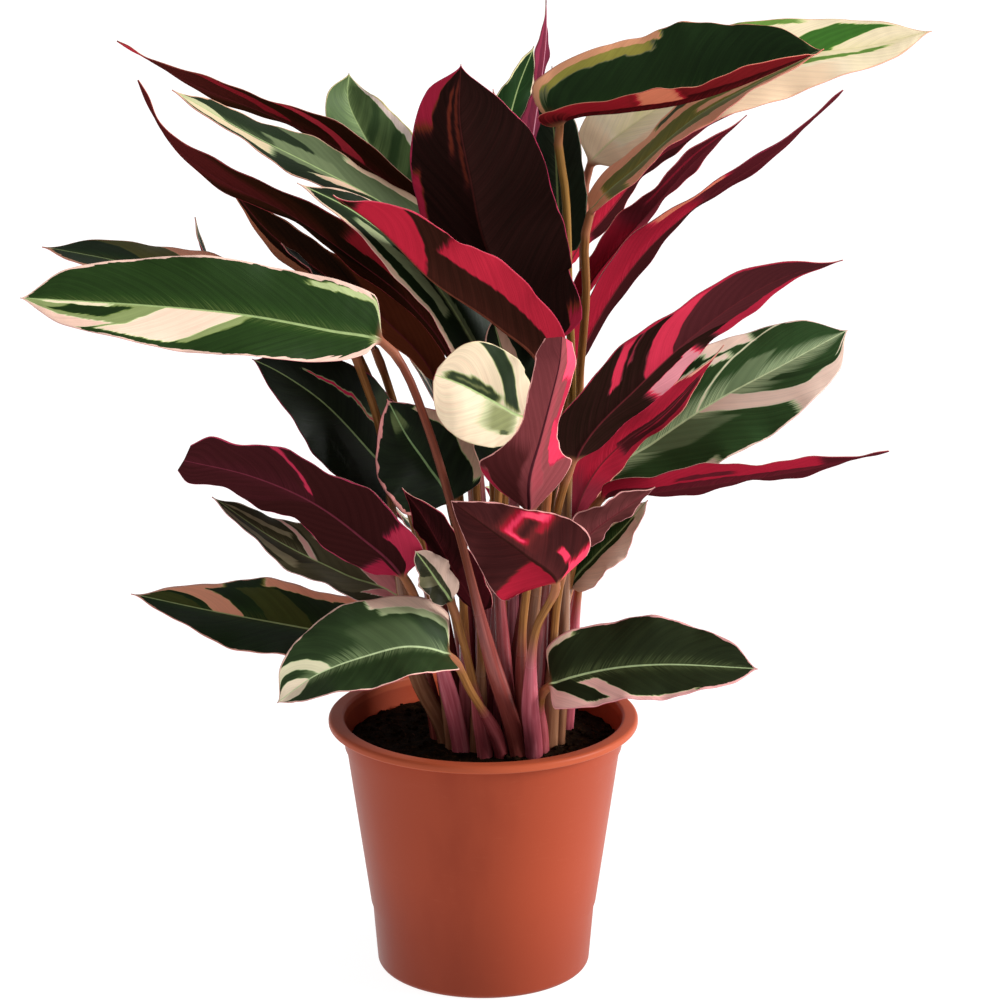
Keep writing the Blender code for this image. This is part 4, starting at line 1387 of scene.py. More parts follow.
@dataclass
class SoilBed:
    """The soil: a filled bed with a crumbly crowned surface, loose crumbs and bits of fibre on it."""

    pot: NurseryPot
    top: float = SOIL_TOP
    crown: float = 3.0
    slope: float = 20.0
    gap: float = 0.3
    sides: int = 120
    rings: int = 34
    lumps: float = 1.5
    lump_size: float = 7.0
    crumbs: int = 420
    crumb_sizes: tuple[float, float] = (0.9, 2.6)
    fibres: int = 46
    fibre_length: tuple[float, float] = (5.0, 14.0)
    fibre_radius: float = 0.35
    fibre_steps: int = 5
    edge_gap: float = 2.0
    seed: int = 7

    def edge_radius(self) -> float:
        """The radius where the soil meets the pot's wall."""
        return self.pot.inner_radius(self.top - self.crown) - self.gap

    def surface(self, across: float, along: float) -> float:
        """Find the height of the soil.

        Args:
            across: Millimetres along X.
            along: Millimetres along Y.

        Returns:
            Millimetres above the pot's underside.
        """
        radius = math.hypot(across, along)
        share = min(max((radius - self.edge_radius() + self.slope) / self.slope, 0.0), 1.0)
        spot = Vector((across, along, 0.0)) / self.lump_size
        lump = noise.fractal(spot, 0.8, 2.2, 4)
        return self.top - self.crown * share * share + self.lumps * lump

    def build(self) -> bmesh.types.BMesh:
        """Spin the bed's section and roughen its surface.

        Returns:
            The bed's shape, in metres.
        """
        low = self.pot.floor + self.gap
        section = [(0.0, low), (self.pot.inner_radius(low) - self.gap - self.pot.wall, low),
                   (self.pot.inner_radius(low + self.pot.wall) - self.gap, low + self.pot.wall)]
        edge = self.edge_radius()
        section += [(edge * (1.0 - ring / self.rings), self.top) for ring in range(self.rings + 1)]
        shape = spun(section, self.sides)
        for vert in shape.verts:
            if vert.co.z > (self.top - 1.0) * MM:
                vert.co.z = self.surface(vert.co.x / MM, vert.co.y / MM) * MM
        bmesh.ops.recalc_face_normals(shape, faces=shape.faces)
        return shape

    def spots(self, rng: random.Random, count: int, margin: float) -> list[Vector]:
        """Scatter places over the surface.

        Args:
            rng: The seeded source of random numbers.
            count: How many places.
            margin: Millimetres that the places keep from the pot's wall.

        Returns:
            Points on the surface in millimetres.
        """
        found = []
        for _ in range(count):
            radius = (self.edge_radius() - margin) * math.sqrt(rng.random())
            angle = rng.uniform(0.0, math.tau)
            across, along = radius * math.cos(angle), radius * math.sin(angle)
            found.append(Vector((across, along, self.surface(across, along))))
        return found

    def build_crumbs(self) -> bmesh.types.BMesh:
        """Scatter small uneven crumbs over the surface.

        Returns:
            The crumbs' shape, in metres.
        """
        rng = random.Random(self.seed)
        shape = bmesh.new()
        for spot in self.spots(rng, self.crumbs, self.crumb_sizes[1]):
            size = rng.uniform(*self.crumb_sizes) * rng.uniform(0.6, 1.0)
            turn = Matrix.Rotation(rng.uniform(0, math.tau), 4, Vector((rng.random(), rng.random(), 1.0)))
            squash = Matrix.Diagonal((1.0, rng.uniform(0.6, 0.9), rng.uniform(0.5, 0.8), 1.0))
            place = Matrix.Translation((spot + Vector((0, 0, 0.2 * size))) * MM) @ turn @ squash
            made = bmesh.ops.create_icosphere(shape, subdivisions=1, radius=size * MM, matrix=place)
            for vert in made["verts"]:
                vert.co += noise.noise_vector(vert.co * 700.0) * (0.3 * size * MM)
        bmesh.ops.recalc_face_normals(shape, faces=shape.faces)
        return shape

    def build_fibres(self) -> bmesh.types.BMesh:
        """Lay thin curved bits of bark and root over the surface.

        Returns:
            The fibres' shape, in metres.
        """
        rng = random.Random(self.seed + 1)
        shape = bmesh.new()
        for spot in self.spots(rng, self.fibres, self.fibre_length[1] + self.edge_gap):
            length = rng.uniform(*self.fibre_length)
            heading, bend = rng.uniform(0, math.tau), rng.uniform(-0.5, 0.5)
            turned = Matrix.Rotation(heading, 4, "Z") @ Matrix.Rotation(math.pi / 2, 4, "Y")
            made = bmesh.ops.create_circle(shape, cap_ends=True, segments=6, radius=self.fibre_radius * MM,
                                           matrix=Matrix.Translation(spot * MM) @ turned)
            face = made["verts"][0].link_faces[0]
            for _ in range(self.fibre_steps):
                moved = bmesh.ops.extrude_discrete_faces(shape, faces=[face])
                face = moved["faces"][0]
                heading += bend / self.fibre_steps
                ahead = Vector((math.cos(heading), math.sin(heading), 0.0)) * (length / self.fibre_steps)
                centre = face.calc_center_median() / MM + ahead
                rise = self.surface(centre.x, centre.y) + self.fibre_radius - centre.z
                bmesh.ops.translate(shape, verts=face.verts, vec=(ahead + Vector((0, 0, rise))) * MM)
        bmesh.ops.recalc_face_normals(shape, faces=shape.faces)
        return shape

    def dress(self) -> list[bpy.types.Object]:
        """Build the bed, its crumbs and its fibres, and put the bed in place of its CAD node.

        Returns:
            The finished pieces.
        """
        finish = PeatMix().build()
        bark = PeatMix(dark="#1c120b", body="#34221a", crumb="#5a4230").build()
        return [add_piece("soil_bed", self.build(), finish, ["soil"]),
                add_piece("soil_crumbs", self.build_crumbs(), finish),
                add_piece("soil_fibres", self.build_fibres(), bark)]


@dataclass
class Studio:
    """A plain pale floor, soft lights and a camera at the photograph's angle."""

    floor_size: float = 60.0
    world_colour: str = "#ffffff"
    world_strength: float = 0.44
    paper_glow: float = 0.93
    key_strength: float = 4.6
    key_angle: float = 25.0
    key_from: tuple[float, float, float] = (1.0, -0.12, 0.4)
    lens_width: float = 36.0
    far_clip: float = 100.0

    def build(self) -> None:
        """Build the floor, the lights and the camera."""
        self.build_floor()
        self.build_lights()
        self.build_camera()
        bpy.context.scene.view_settings.view_transform = "Standard"

    def build_floor(self) -> None:
        """Lay a white paper floor that glows a little, like a light table."""
        material, tree, shader = blank_material("matt_studio_paper")
        place = add_node(tree, "TexCoord")
        pulp = add_node(tree, "TexNoise", None, {"Vector": place.outputs["Object"], "Scale": 60.0})
        tint = add_node(tree, "MapRange", None,
                        {"Value": pulp.outputs["Fac"], "To Min": 0.22, "To Max": 0.26})
        tree.links.new(tint.outputs[0], shader.inputs["Base Color"])
        shader.inputs["Roughness"].default_value = 0.9
        shader.inputs["Specular IOR Level"].default_value = 0.1
        shader.inputs["Emission Color"].default_value = linear(self.world_colour)
        shader.inputs["Emission Strength"].default_value = self.paper_glow
        shape = bmesh.new()
        bmesh.ops.create_grid(shape, x_segments=8, y_segments=8, size=self.floor_size / 2)
        floor = new_object("floor", new_mesh("floor", shape, material))

    def build_lights(self) -> None:
        """Light the plant softly from all round, and more from the right."""
        world = bpy.data.worlds.new("white_studio")
        bpy.context.scene.world = world
        world.use_nodes = True
        background = world.node_tree.nodes["Background"]
        background.inputs["Color"].default_value = linear(self.world_colour)
        background.inputs["Strength"].default_value = self.world_strength
        lamp = bpy.data.lights.new("key", "SUN")
        lamp.energy = self.key_strength
        lamp.angle = math.radians(self.key_angle)
        light = new_object("key", lamp)
        light.rotation_euler = (-Vector(self.key_from)).to_track_quat("-Z", "Y").to_euler()

    def build_camera(self) -> None:
        """Stand the camera where the photograph was taken."""
        camera = bpy.data.cameras.new("camera")
        camera.sensor_width = self.lens_width
        camera.lens = self.lens_width * FRAME_REACH / FRAME
        camera.clip_end = self.far_clip
        thing = new_object("camera", camera)
        thing.location = (VIEWER_ASIDE * MM, -VIEWER_BACK * MM, VIEWER_HEIGHT * MM)
        thing.rotation_euler = (math.pi / 2 - VIEWER_PITCH, 0.0, 0.0)
        bpy.context.scene.camera = thing


# Sight points are (across, down, millimetres behind the pot's axis), from the soil up and from base to tip
LEAVES = (
    Leaf("leaf_01_long_front_left", (1, -4),
         ((490, 655, -56), (466, 560, -74), (450, 500, -80), (427, 425, -82), (402, 365, -82)),
         ((382, 342, -82), (330, 331, -88), (249, 316, -95), (150, 306, -102), (20, 298, -109)),
         54, 20, fold=(12, 16), wave=2.5, taper=0.52, widest=0.46, blunt=(4.5, 1.9), skew=0.03),
    Leaf("leaf_02_behind_long_left", (-4, -1),
         ((415, 670, -26), (403, 590, -34), (393, 520, -37), (386, 460, -39), (376, 414, -39),
          (364, 380, -37)),
         ((348, 345, -32), (290, 315, -22), (205, 283, -12), (120, 262, 0), (42, 247, 12)),
         50, 62, taper=0.9, widest=0.64),
    Leaf("leaf_03_small_left_tip", (-3, 2), (),
         ((345, 335, 46), (280, 308, 56), (228, 282, 66), (203, 252, 73), (195, 217, 78)), 30, 92),
    Leaf("leaf_04_upper_left_underside", (-1, 2), (),
         ((440, 236, 34), (400, 190, 40), (343, 149, 46), (270, 114, 53), (190, 82, 61), (117, 41, 70)),
         46, 107,
         outline=((0.0, 0.2), (0.06, 0.67), (0.18, 0.92), (0.38, 1.0), (0.55, 0.89), (0.7, 0.63), (0.8, 0.4),
                  (0.88, 0.2), (0.92, 0.1), (0.96, 0.16), (1.0, 0.03))),
    Leaf("leaf_05_upper_left_top", (-1, 1), (),
         ((440, 246, 8), (388, 207, 4), (320, 170, 0), (245, 132, -4), (172, 90, -8)), 46, 64, taper=0.8),
    Leaf("leaf_06_tall_centre", (0, -1), (),
         ((548, 350, -28), (512, 300, -31), (484, 240, -35), (471, 180, -40), (460, 120, -44),
          (461, 64, -48)), 84, 158, fold=(21, 22), lead=RIGHT, wave=3.0, taper=0.65, widest=0.52),
    Leaf("leaf_07_folded_over_centre", (1, -2), (),
         ((545, 374, -58), (497, 325, -64), (432, 280, -70), (380, 229, -76), (333, 195, -82)),
         56, 132, fold=(70, 42), tone="crimson"),
    Leaf("leaf_08_under_folded", (-1, -1), (),
         ((492, 392, -40), (462, 325, -44), (418, 264, -48), (354, 212, -52), (297, 183, -54)), 38, 40),
    Leaf("leaf_09_long_left_underside", (-1, 0), (),
         ((458, 372, -2), (412, 303, 2), (350, 254, 6), (290, 213, 12), (217, 177, 18), (168, 138, 23),
          (138, 80, 28)), 50, 109,
         outline=((0.0, 0.2), (0.06, 0.65), (0.18, 0.9), (0.42, 1.0), (0.55, 0.92), (0.72, 0.62), (0.84, 0.3),
                  (0.9, 0.15), (0.955, 0.2), (1.0, 0.04))),
    Leaf("leaf_10_narrow_left", (-2, 2), (),
         ((440, 385, 36), (390, 322, 46), (330, 277, 54), (268, 230, 60), (223, 176, 64)), 44, 122),
    Leaf("leaf_11_dark_left_tip", (-3, 1), (),
         ((375, 350, 12), (340, 305, 12), (310, 272, 13), (281, 243, 15)), 32, 80),
    Leaf("leaf_12_dark_left_drooping", (-3, -2), (),
         ((408, 500, -14), (368, 450, -24), (322, 402, -34), (280, 373, -40), (252, 359, -44)),
         62, 35, taper=0.8),
    Leaf("leaf_13_crimson_left", (-3, 0), (),
         ((400, 480, 6), (370, 430, 6), (345, 395, 5), (315, 365, 4)), 44, 150, tone="crimson"),
    Leaf("leaf_14_dark_front_left", (-2, -2), (),
         ((450, 503, -40), (427, 465, -44), (406, 435, -48), (387, 399, -52)), 56, 12, blunt=(3.0, 3.0)),
    Leaf("leaf_15_maroon_lower_left", (-3, -3), (),
         ((404, 577, -62), (360, 535, -66), (310, 500, -70), (250, 475, -76), (184, 460, -84)),
         50, 133, wave=3.0, waves=2.8,
         outline=((0.0, 0.3), (0.06, 0.78), (0.18, 0.97), (0.42, 1.0), (0.7, 0.9), (0.85, 0.8), (0.94, 0.82),
                  (1.0, 0.45))),
    Leaf("leaf_16_rolled_lower_left", (-4, 0), (),
         ((400, 600, -4), (345, 575, -6), (275, 540, -10), (212, 497, -14)), 44, 55),
    Leaf("leaf_17_low_left", (-4, 1), (),
         ((388, 645, 4), (312, 630, 10), (215, 612, 18), (131, 594, 26)), 58, 45, widest=0.45, taper=1.1),
    Leaf("leaf_18_low_front_left", (0, -4), ((470, 690, -60),),
         ((449, 656, -74), (410, 647, -84), (368, 656, -94), (317, 675, -105), (277, 703, -114)),
         62, 28, fold=(8, 30), taper=0.7, blunt=(4.5, 2.4), lobe=5.0),
    Leaf("leaf_19_low_right", (2, -3), ((540, 705, -36),),
         ((550, 686, -52), (600, 671, -54), (660, 665, -57), (758, 669, -62)), 56, 38, taper=0.65,
         blunt=(3.6, 3.6), skew=0.08, lobe=4.0),
    Leaf("leaf_20_curled_front", (2, -4), ((530, 700, -54), (536, 630, -78)),
         ((556, 582, -92), (525, 554, -106), (490, 529, -114), (451, 501, -120)), 58, 165,
         outline=((0.0, 0.55), (0.08, 0.92), (0.2, 1.0), (0.4, 0.86), (0.6, 0.64), (0.8, 0.36), (0.93, 0.14),
                  (1.0, 0.0)),
         tone="crimson"),
    Leaf("leaf_21_pointing_up_front", (1, -3), ((522, 640, -46), (530, 560, -62)),
         ((530, 512, -84), (530, 478, -102), (541, 438, -120), (551, 400, -130), (560, 362, -134),
          (562, 337, -126)),
         62, 165, fold=(5, 70), lead=RIGHT, wave=2.0,
         outline=((0.0, 0.25), (0.07, 0.8), (0.16, 1.0), (0.28, 0.72), (0.42, 0.48), (0.6, 0.4),
                  (0.8, 0.42), (0.93, 0.44), (1.0, 0.3)),
         tone="crimson"),
    Leaf("leaf_22_maroon_front_low", (-2, -3), (),
         ((478, 612, -48), (456, 572, -54), (437, 538, -60), (420, 510, -63), (402, 488, -66)), 34, 128),
    Leaf("leaf_23_large_right_underside", (2, -2), (),
         ((572, 463, -38), (640, 383, -46), (722, 312, -54), (780, 278, -58), (843, 260, -62)), 64, 118,
         blunt=(3.2, 3.2)),
    Leaf("leaf_24_narrow_right", (2, 0), (),
         ((570, 525, 2), (592, 474, 6), (622, 442, 10), (660, 415, 14), (697, 377, 18), (724, 345, 22)),
         42, 125, taper=1.5, widest=0.3, tone="crimson"),
    Leaf("leaf_25_broad_right_top", (4, 2), (),
         ((606, 480, 34), (655, 442, 42), (715, 402, 50), (778, 368, 58), (848, 330, 70)),
         70, 30, taper=0.55, widest=0.5, skew=-0.1),
    Leaf("leaf_26_level_right", (3, 0), (),
         ((600, 500, -6), (660, 490, -9), (720, 482, -12), (800, 470, -16), (889, 451, -22)),
         44, 107, tone="crimson",
         outline=((0.0, 0.2), (0.06, 0.65), (0.18, 0.9), (0.42, 1.0), (0.55, 0.91), (0.7, 0.62), (0.82, 0.32),
                  (0.9, 0.13), (0.955, 0.15), (1.0, 0.04))),
    Leaf("leaf_27_short_right_underside", (3, -2), (),
         ((566, 562, -34), (590, 532, -34), (622, 509, -33), (655, 487, -31)), 36, 116),
    Leaf("leaf_28_short_right_top", (3, 1), (),
         ((570, 588, 1), (594, 558, 0), (622, 530, -1), (648, 500, -2)), 34, 42),
    Leaf("leaf_29_rear_left_top", (-1, 3), ((452, 330, 62),),
         ((428, 230, 82), (392, 180, 92), (362, 132, 100), (348, 100, 106), (349, 73, 110)),
         46, 25, fold=(30, 8), taper=0.6, widest=0.5),
    Leaf("leaf_30_top_spire", (0, 1), (),
         ((524, 190, 20), (532, 130, 20), (540, 80, 19), (545, 40, 18), (546, 0, 16)),
         26, 105, lead=LEFT, tone="crimson"),
    Leaf("leaf_31_top_tip", (0, 2), (),
         ((500, 190, 52), (505, 140, 54), (517, 90, 56), (534, 46, 58)), 32, 40, lead=RIGHT),
    Leaf("leaf_32_top_right", (3, -1),
         ((561, 690, -11), (563, 600, -12), (568, 480, -13), (572, 390, -14), (569, 300, -14),
          (566, 200, -13)),
         ((560, 123, -12), (578, 115, -12), (620, 111, -14), (680, 103, -16), (740, 85, -20), (824, 49, -26)),
         84, 62, fold=(45, 40), taper=0.7, widest=0.48, lobe=24.0),
    Leaf("leaf_33_cream_top_right", (3, 2),
         ((576, 560, 44), (582, 480, 52), (580, 390, 56), (583, 300, 58), (584, 215, 58)),
         ((590, 166, 58), (640, 120, 64), (720, 80, 72), (800, 56, 80), (870, 46, 85), (932, 31, 90)),
         60, 40, taper=0.7, widest=0.42, tone="cream"),
    Leaf("leaf_34_striped_right", (2, 1), ((574, 520, 24), (578, 400, 9), (586, 300, -3)),
         ((590, 215, 3), (640, 165, 7), (700, 115, 8), (760, 82, 8), (816, 54, 6)), 44, 70),
    Leaf("leaf_35_rear_right_crimson", (1, 3), (),
         ((566, 268, 74), (604, 215, 82), (650, 162, 92), (695, 131, 99), (738, 111, 104)),
         38, 115, taper=1.4, widest=0.32, tone="crimson"),
    Leaf("leaf_36_mid_right_crimson", (2, 2), ((563, 440, 27),),
         ((580, 300, 33), (617, 246, 32), (652, 207, 32), (692, 163, 31), (747, 115, 31)),
         36, 112, widest=0.32, tone="crimson"),
    Leaf("leaf_37_long_right_crimson", (1, 1), (),
         ((574, 372, 24), (598, 316, 22), (646, 249, 18), (708, 196, 14), (781, 147, 10), (843, 90, 6)),
         38, 110, tone="crimson",
         outline=((0.0, 0.2), (0.06, 0.7), (0.15, 0.93), (0.3, 1.0), (0.45, 0.9), (0.6, 0.66), (0.75, 0.34),
                  (0.85, 0.2), (0.93, 0.16), (0.975, 0.14), (1.0, 0.03))),
    Leaf("leaf_38_cream_facing_front", (0, -3), ((497, 520, -50), (505, 460, -56)),
         ((530, 424, -66), (511, 412, -80), (487, 398, -94), (460, 384, -105), (435, 375, -113)),
         52, 8, fold=(14, 10), tone="cream",
         outline=((0.0, 0.3), (0.2, 0.64), (0.4, 0.88), (0.6, 1.0), (0.78, 0.97), (0.9, 0.78), (0.97, 0.44),
                  (1.0, 0.14))),
    Leaf("leaf_39_behind_cream", (0, -2), (),
         ((505, 470, -44), (507, 420, -48), (505, 370, -52), (492, 315, -56)), 46, 30, lead=RIGHT),
    Leaf("leaf_40_rear_middle", (0, 4), (),
         ((490, 420, 68), (485, 350, 92), (478, 300, 124), (470, 270, 162)), 58, 75),
    Leaf("leaf_41_rear_left", (-2, 3), (),
         ((440, 410, 70), (405, 340, 96), (372, 295, 124), (345, 265, 152)), 54, 80),
    Leaf("leaf_42_rear_right", (2, 3), (),
         ((560, 480, 68), (610, 450, 96), (660, 430, 122), (700, 415, 145)), 52, 80),
    Leaf("leaf_43_rear_high", (0, 3), ((515, 420, 46),),
         ((500, 300, 74), (500, 220, 84), (500, 150, 94), (493, 89, 106)), 54, 40),
    Leaf("leaf_44_rear_low_left", (-2, 4), (),
         ((440, 560, 60), (415, 530, 90), (390, 510, 125)), 48, 80),
    Leaf("leaf_45_rear_low_right", (2, 4), (),
         ((555, 600, 55), (575, 570, 85), (600, 545, 115), (620, 530, 140)), 48, 80),
    Leaf("leaf_46_rear_low", (0, 5), (),
         ((500, 560, 62), (498, 540, 100), (495, 520, 140), (492, 515, 172)), 54, 80),
    Leaf("leaf_47_rear_arching", (1, 5), (),
         ((545, 430, 76), (555, 390, 110), (565, 360, 148), (575, 350, 186)), 58, 75),
    Leaf("leaf_48_rear_tip", (1, 2), ((541, 430, 32),),
         ((560, 255, 38), (558, 200, 37), (555, 140, 37), (551, 100, 39), (552, 66, 42)),
         36, -25, lead=RIGHT),
    Leaf("leaf_49_small_front_left", (-1, -4), (),
         ((450, 601, -65), (438, 583, -67), (427, 567, -71), (415, 551, -75)), 22, 30, taper=0.7),
)


# The bands of a leaf that has no row of its own: how often, and their widths and gaps as shares of its length
LOOK_SEED = 100
BAND_CHANCE = 0.55
BAND_WIDE = (0.03, 0.16)
BAND_GAP = (0.04, 0.22)


def look_of(leaf: Leaf) -> WaxyLeaf:
    """Find a leaf's finish: its own where the table has one, or else a seeded one of its kind.

    Args:
        leaf: The leaf.

    Returns:
        The leaf's finish.
    """
    rng = random.Random(LOOK_SEED + leaf.number)
    marks = []
    for side in (LEAD, TRAIL):
        start = rng.uniform(-0.2, 0.1)
        while start < 0.95:
            wide = rng.uniform(*BAND_WIDE)
            if rng.random() < BAND_CHANCE:
                near = rng.choice((-0.1, -0.1, rng.uniform(0.2, 0.6)))
                marks.append(Mark(side, start, start + wide, rng.uniform(0.35, 1.0), near))
            start += wide + rng.uniform(*BAND_GAP)
    own = WaxyLeaf(rng.uniform(0.06, 0.2), tuple(marks), feather=rng.uniform(0.1, 0.35))
    return replace(LOOKS.get(leaf.number, own), sheath=SHEATHS[leaf.number % len(SHEATHS)],
                   stalk=STALKS.get(leaf.number, STALKS[0]))


# Sheaths and stalks of one clump are wine, pink, olive or brown, here from their darkest streak to the palest
SHEATHS = (("#8a3c44", "#ac5460", "#d08088"), ("#5e2622", "#7e3a34", "#9c544a"),
           ("#5e3a28", "#7e543c", "#9a7054"), ("#642628", "#84383c", "#a45458"),
           ("#7a3238", "#9c484e", "#c07074"))
STALKS = {0: ("#563216", "#88582e", "#b27e48"), 1: ("#4a2018", "#6e3728", "#8a4a34"),
          33: ("#8a4a34", "#b8765c", "#d8a088"), 32: ("#5a3c18", "#8c6430", "#b08848"),
          7: ("#6e3a20", "#9c5c38", "#b87c54")}
# Colours from the darkest tone to the palest, for the faces of leaves that differ from the rest
OLIVE_SALMON = ("#0f180b", "#203617", "#595724", "#9b9a56", "#f0b494", "#ec9e7e")
DUSKY_GREEN = ("#0c120a", "#202e17", "#667350", "#a3ab80", "#dcc3a0", "#e0a49a")
GREY_PINK = ("#16150c", "#3c3924", "#82795d", "#b9b59b", "#e3cdbb", "#cf7f83")
BROWN_MAROON = ("#1b1109", "#35190f", "#591e1e", "#96202b", "#c83846", "#d96a67")
SALMON_BROWN = ("#180f09", "#34190f", "#70331f", "#a0644a", "#c08c6c", "#cfa484")
MAUVE_CRIMSON = ("#1a110b", "#391a1b", "#5d262c", "#a32137", "#c8324a", "#c07e86")
HOT_SPIRE = ("#431723", "#5e2236", "#782f3f", "#963450", "#b04a66", "#c87888")
WINE = ("#210e0d", "#40171a", "#651e29", "#9c1c30", "#c22c44", "#dc6a6e")

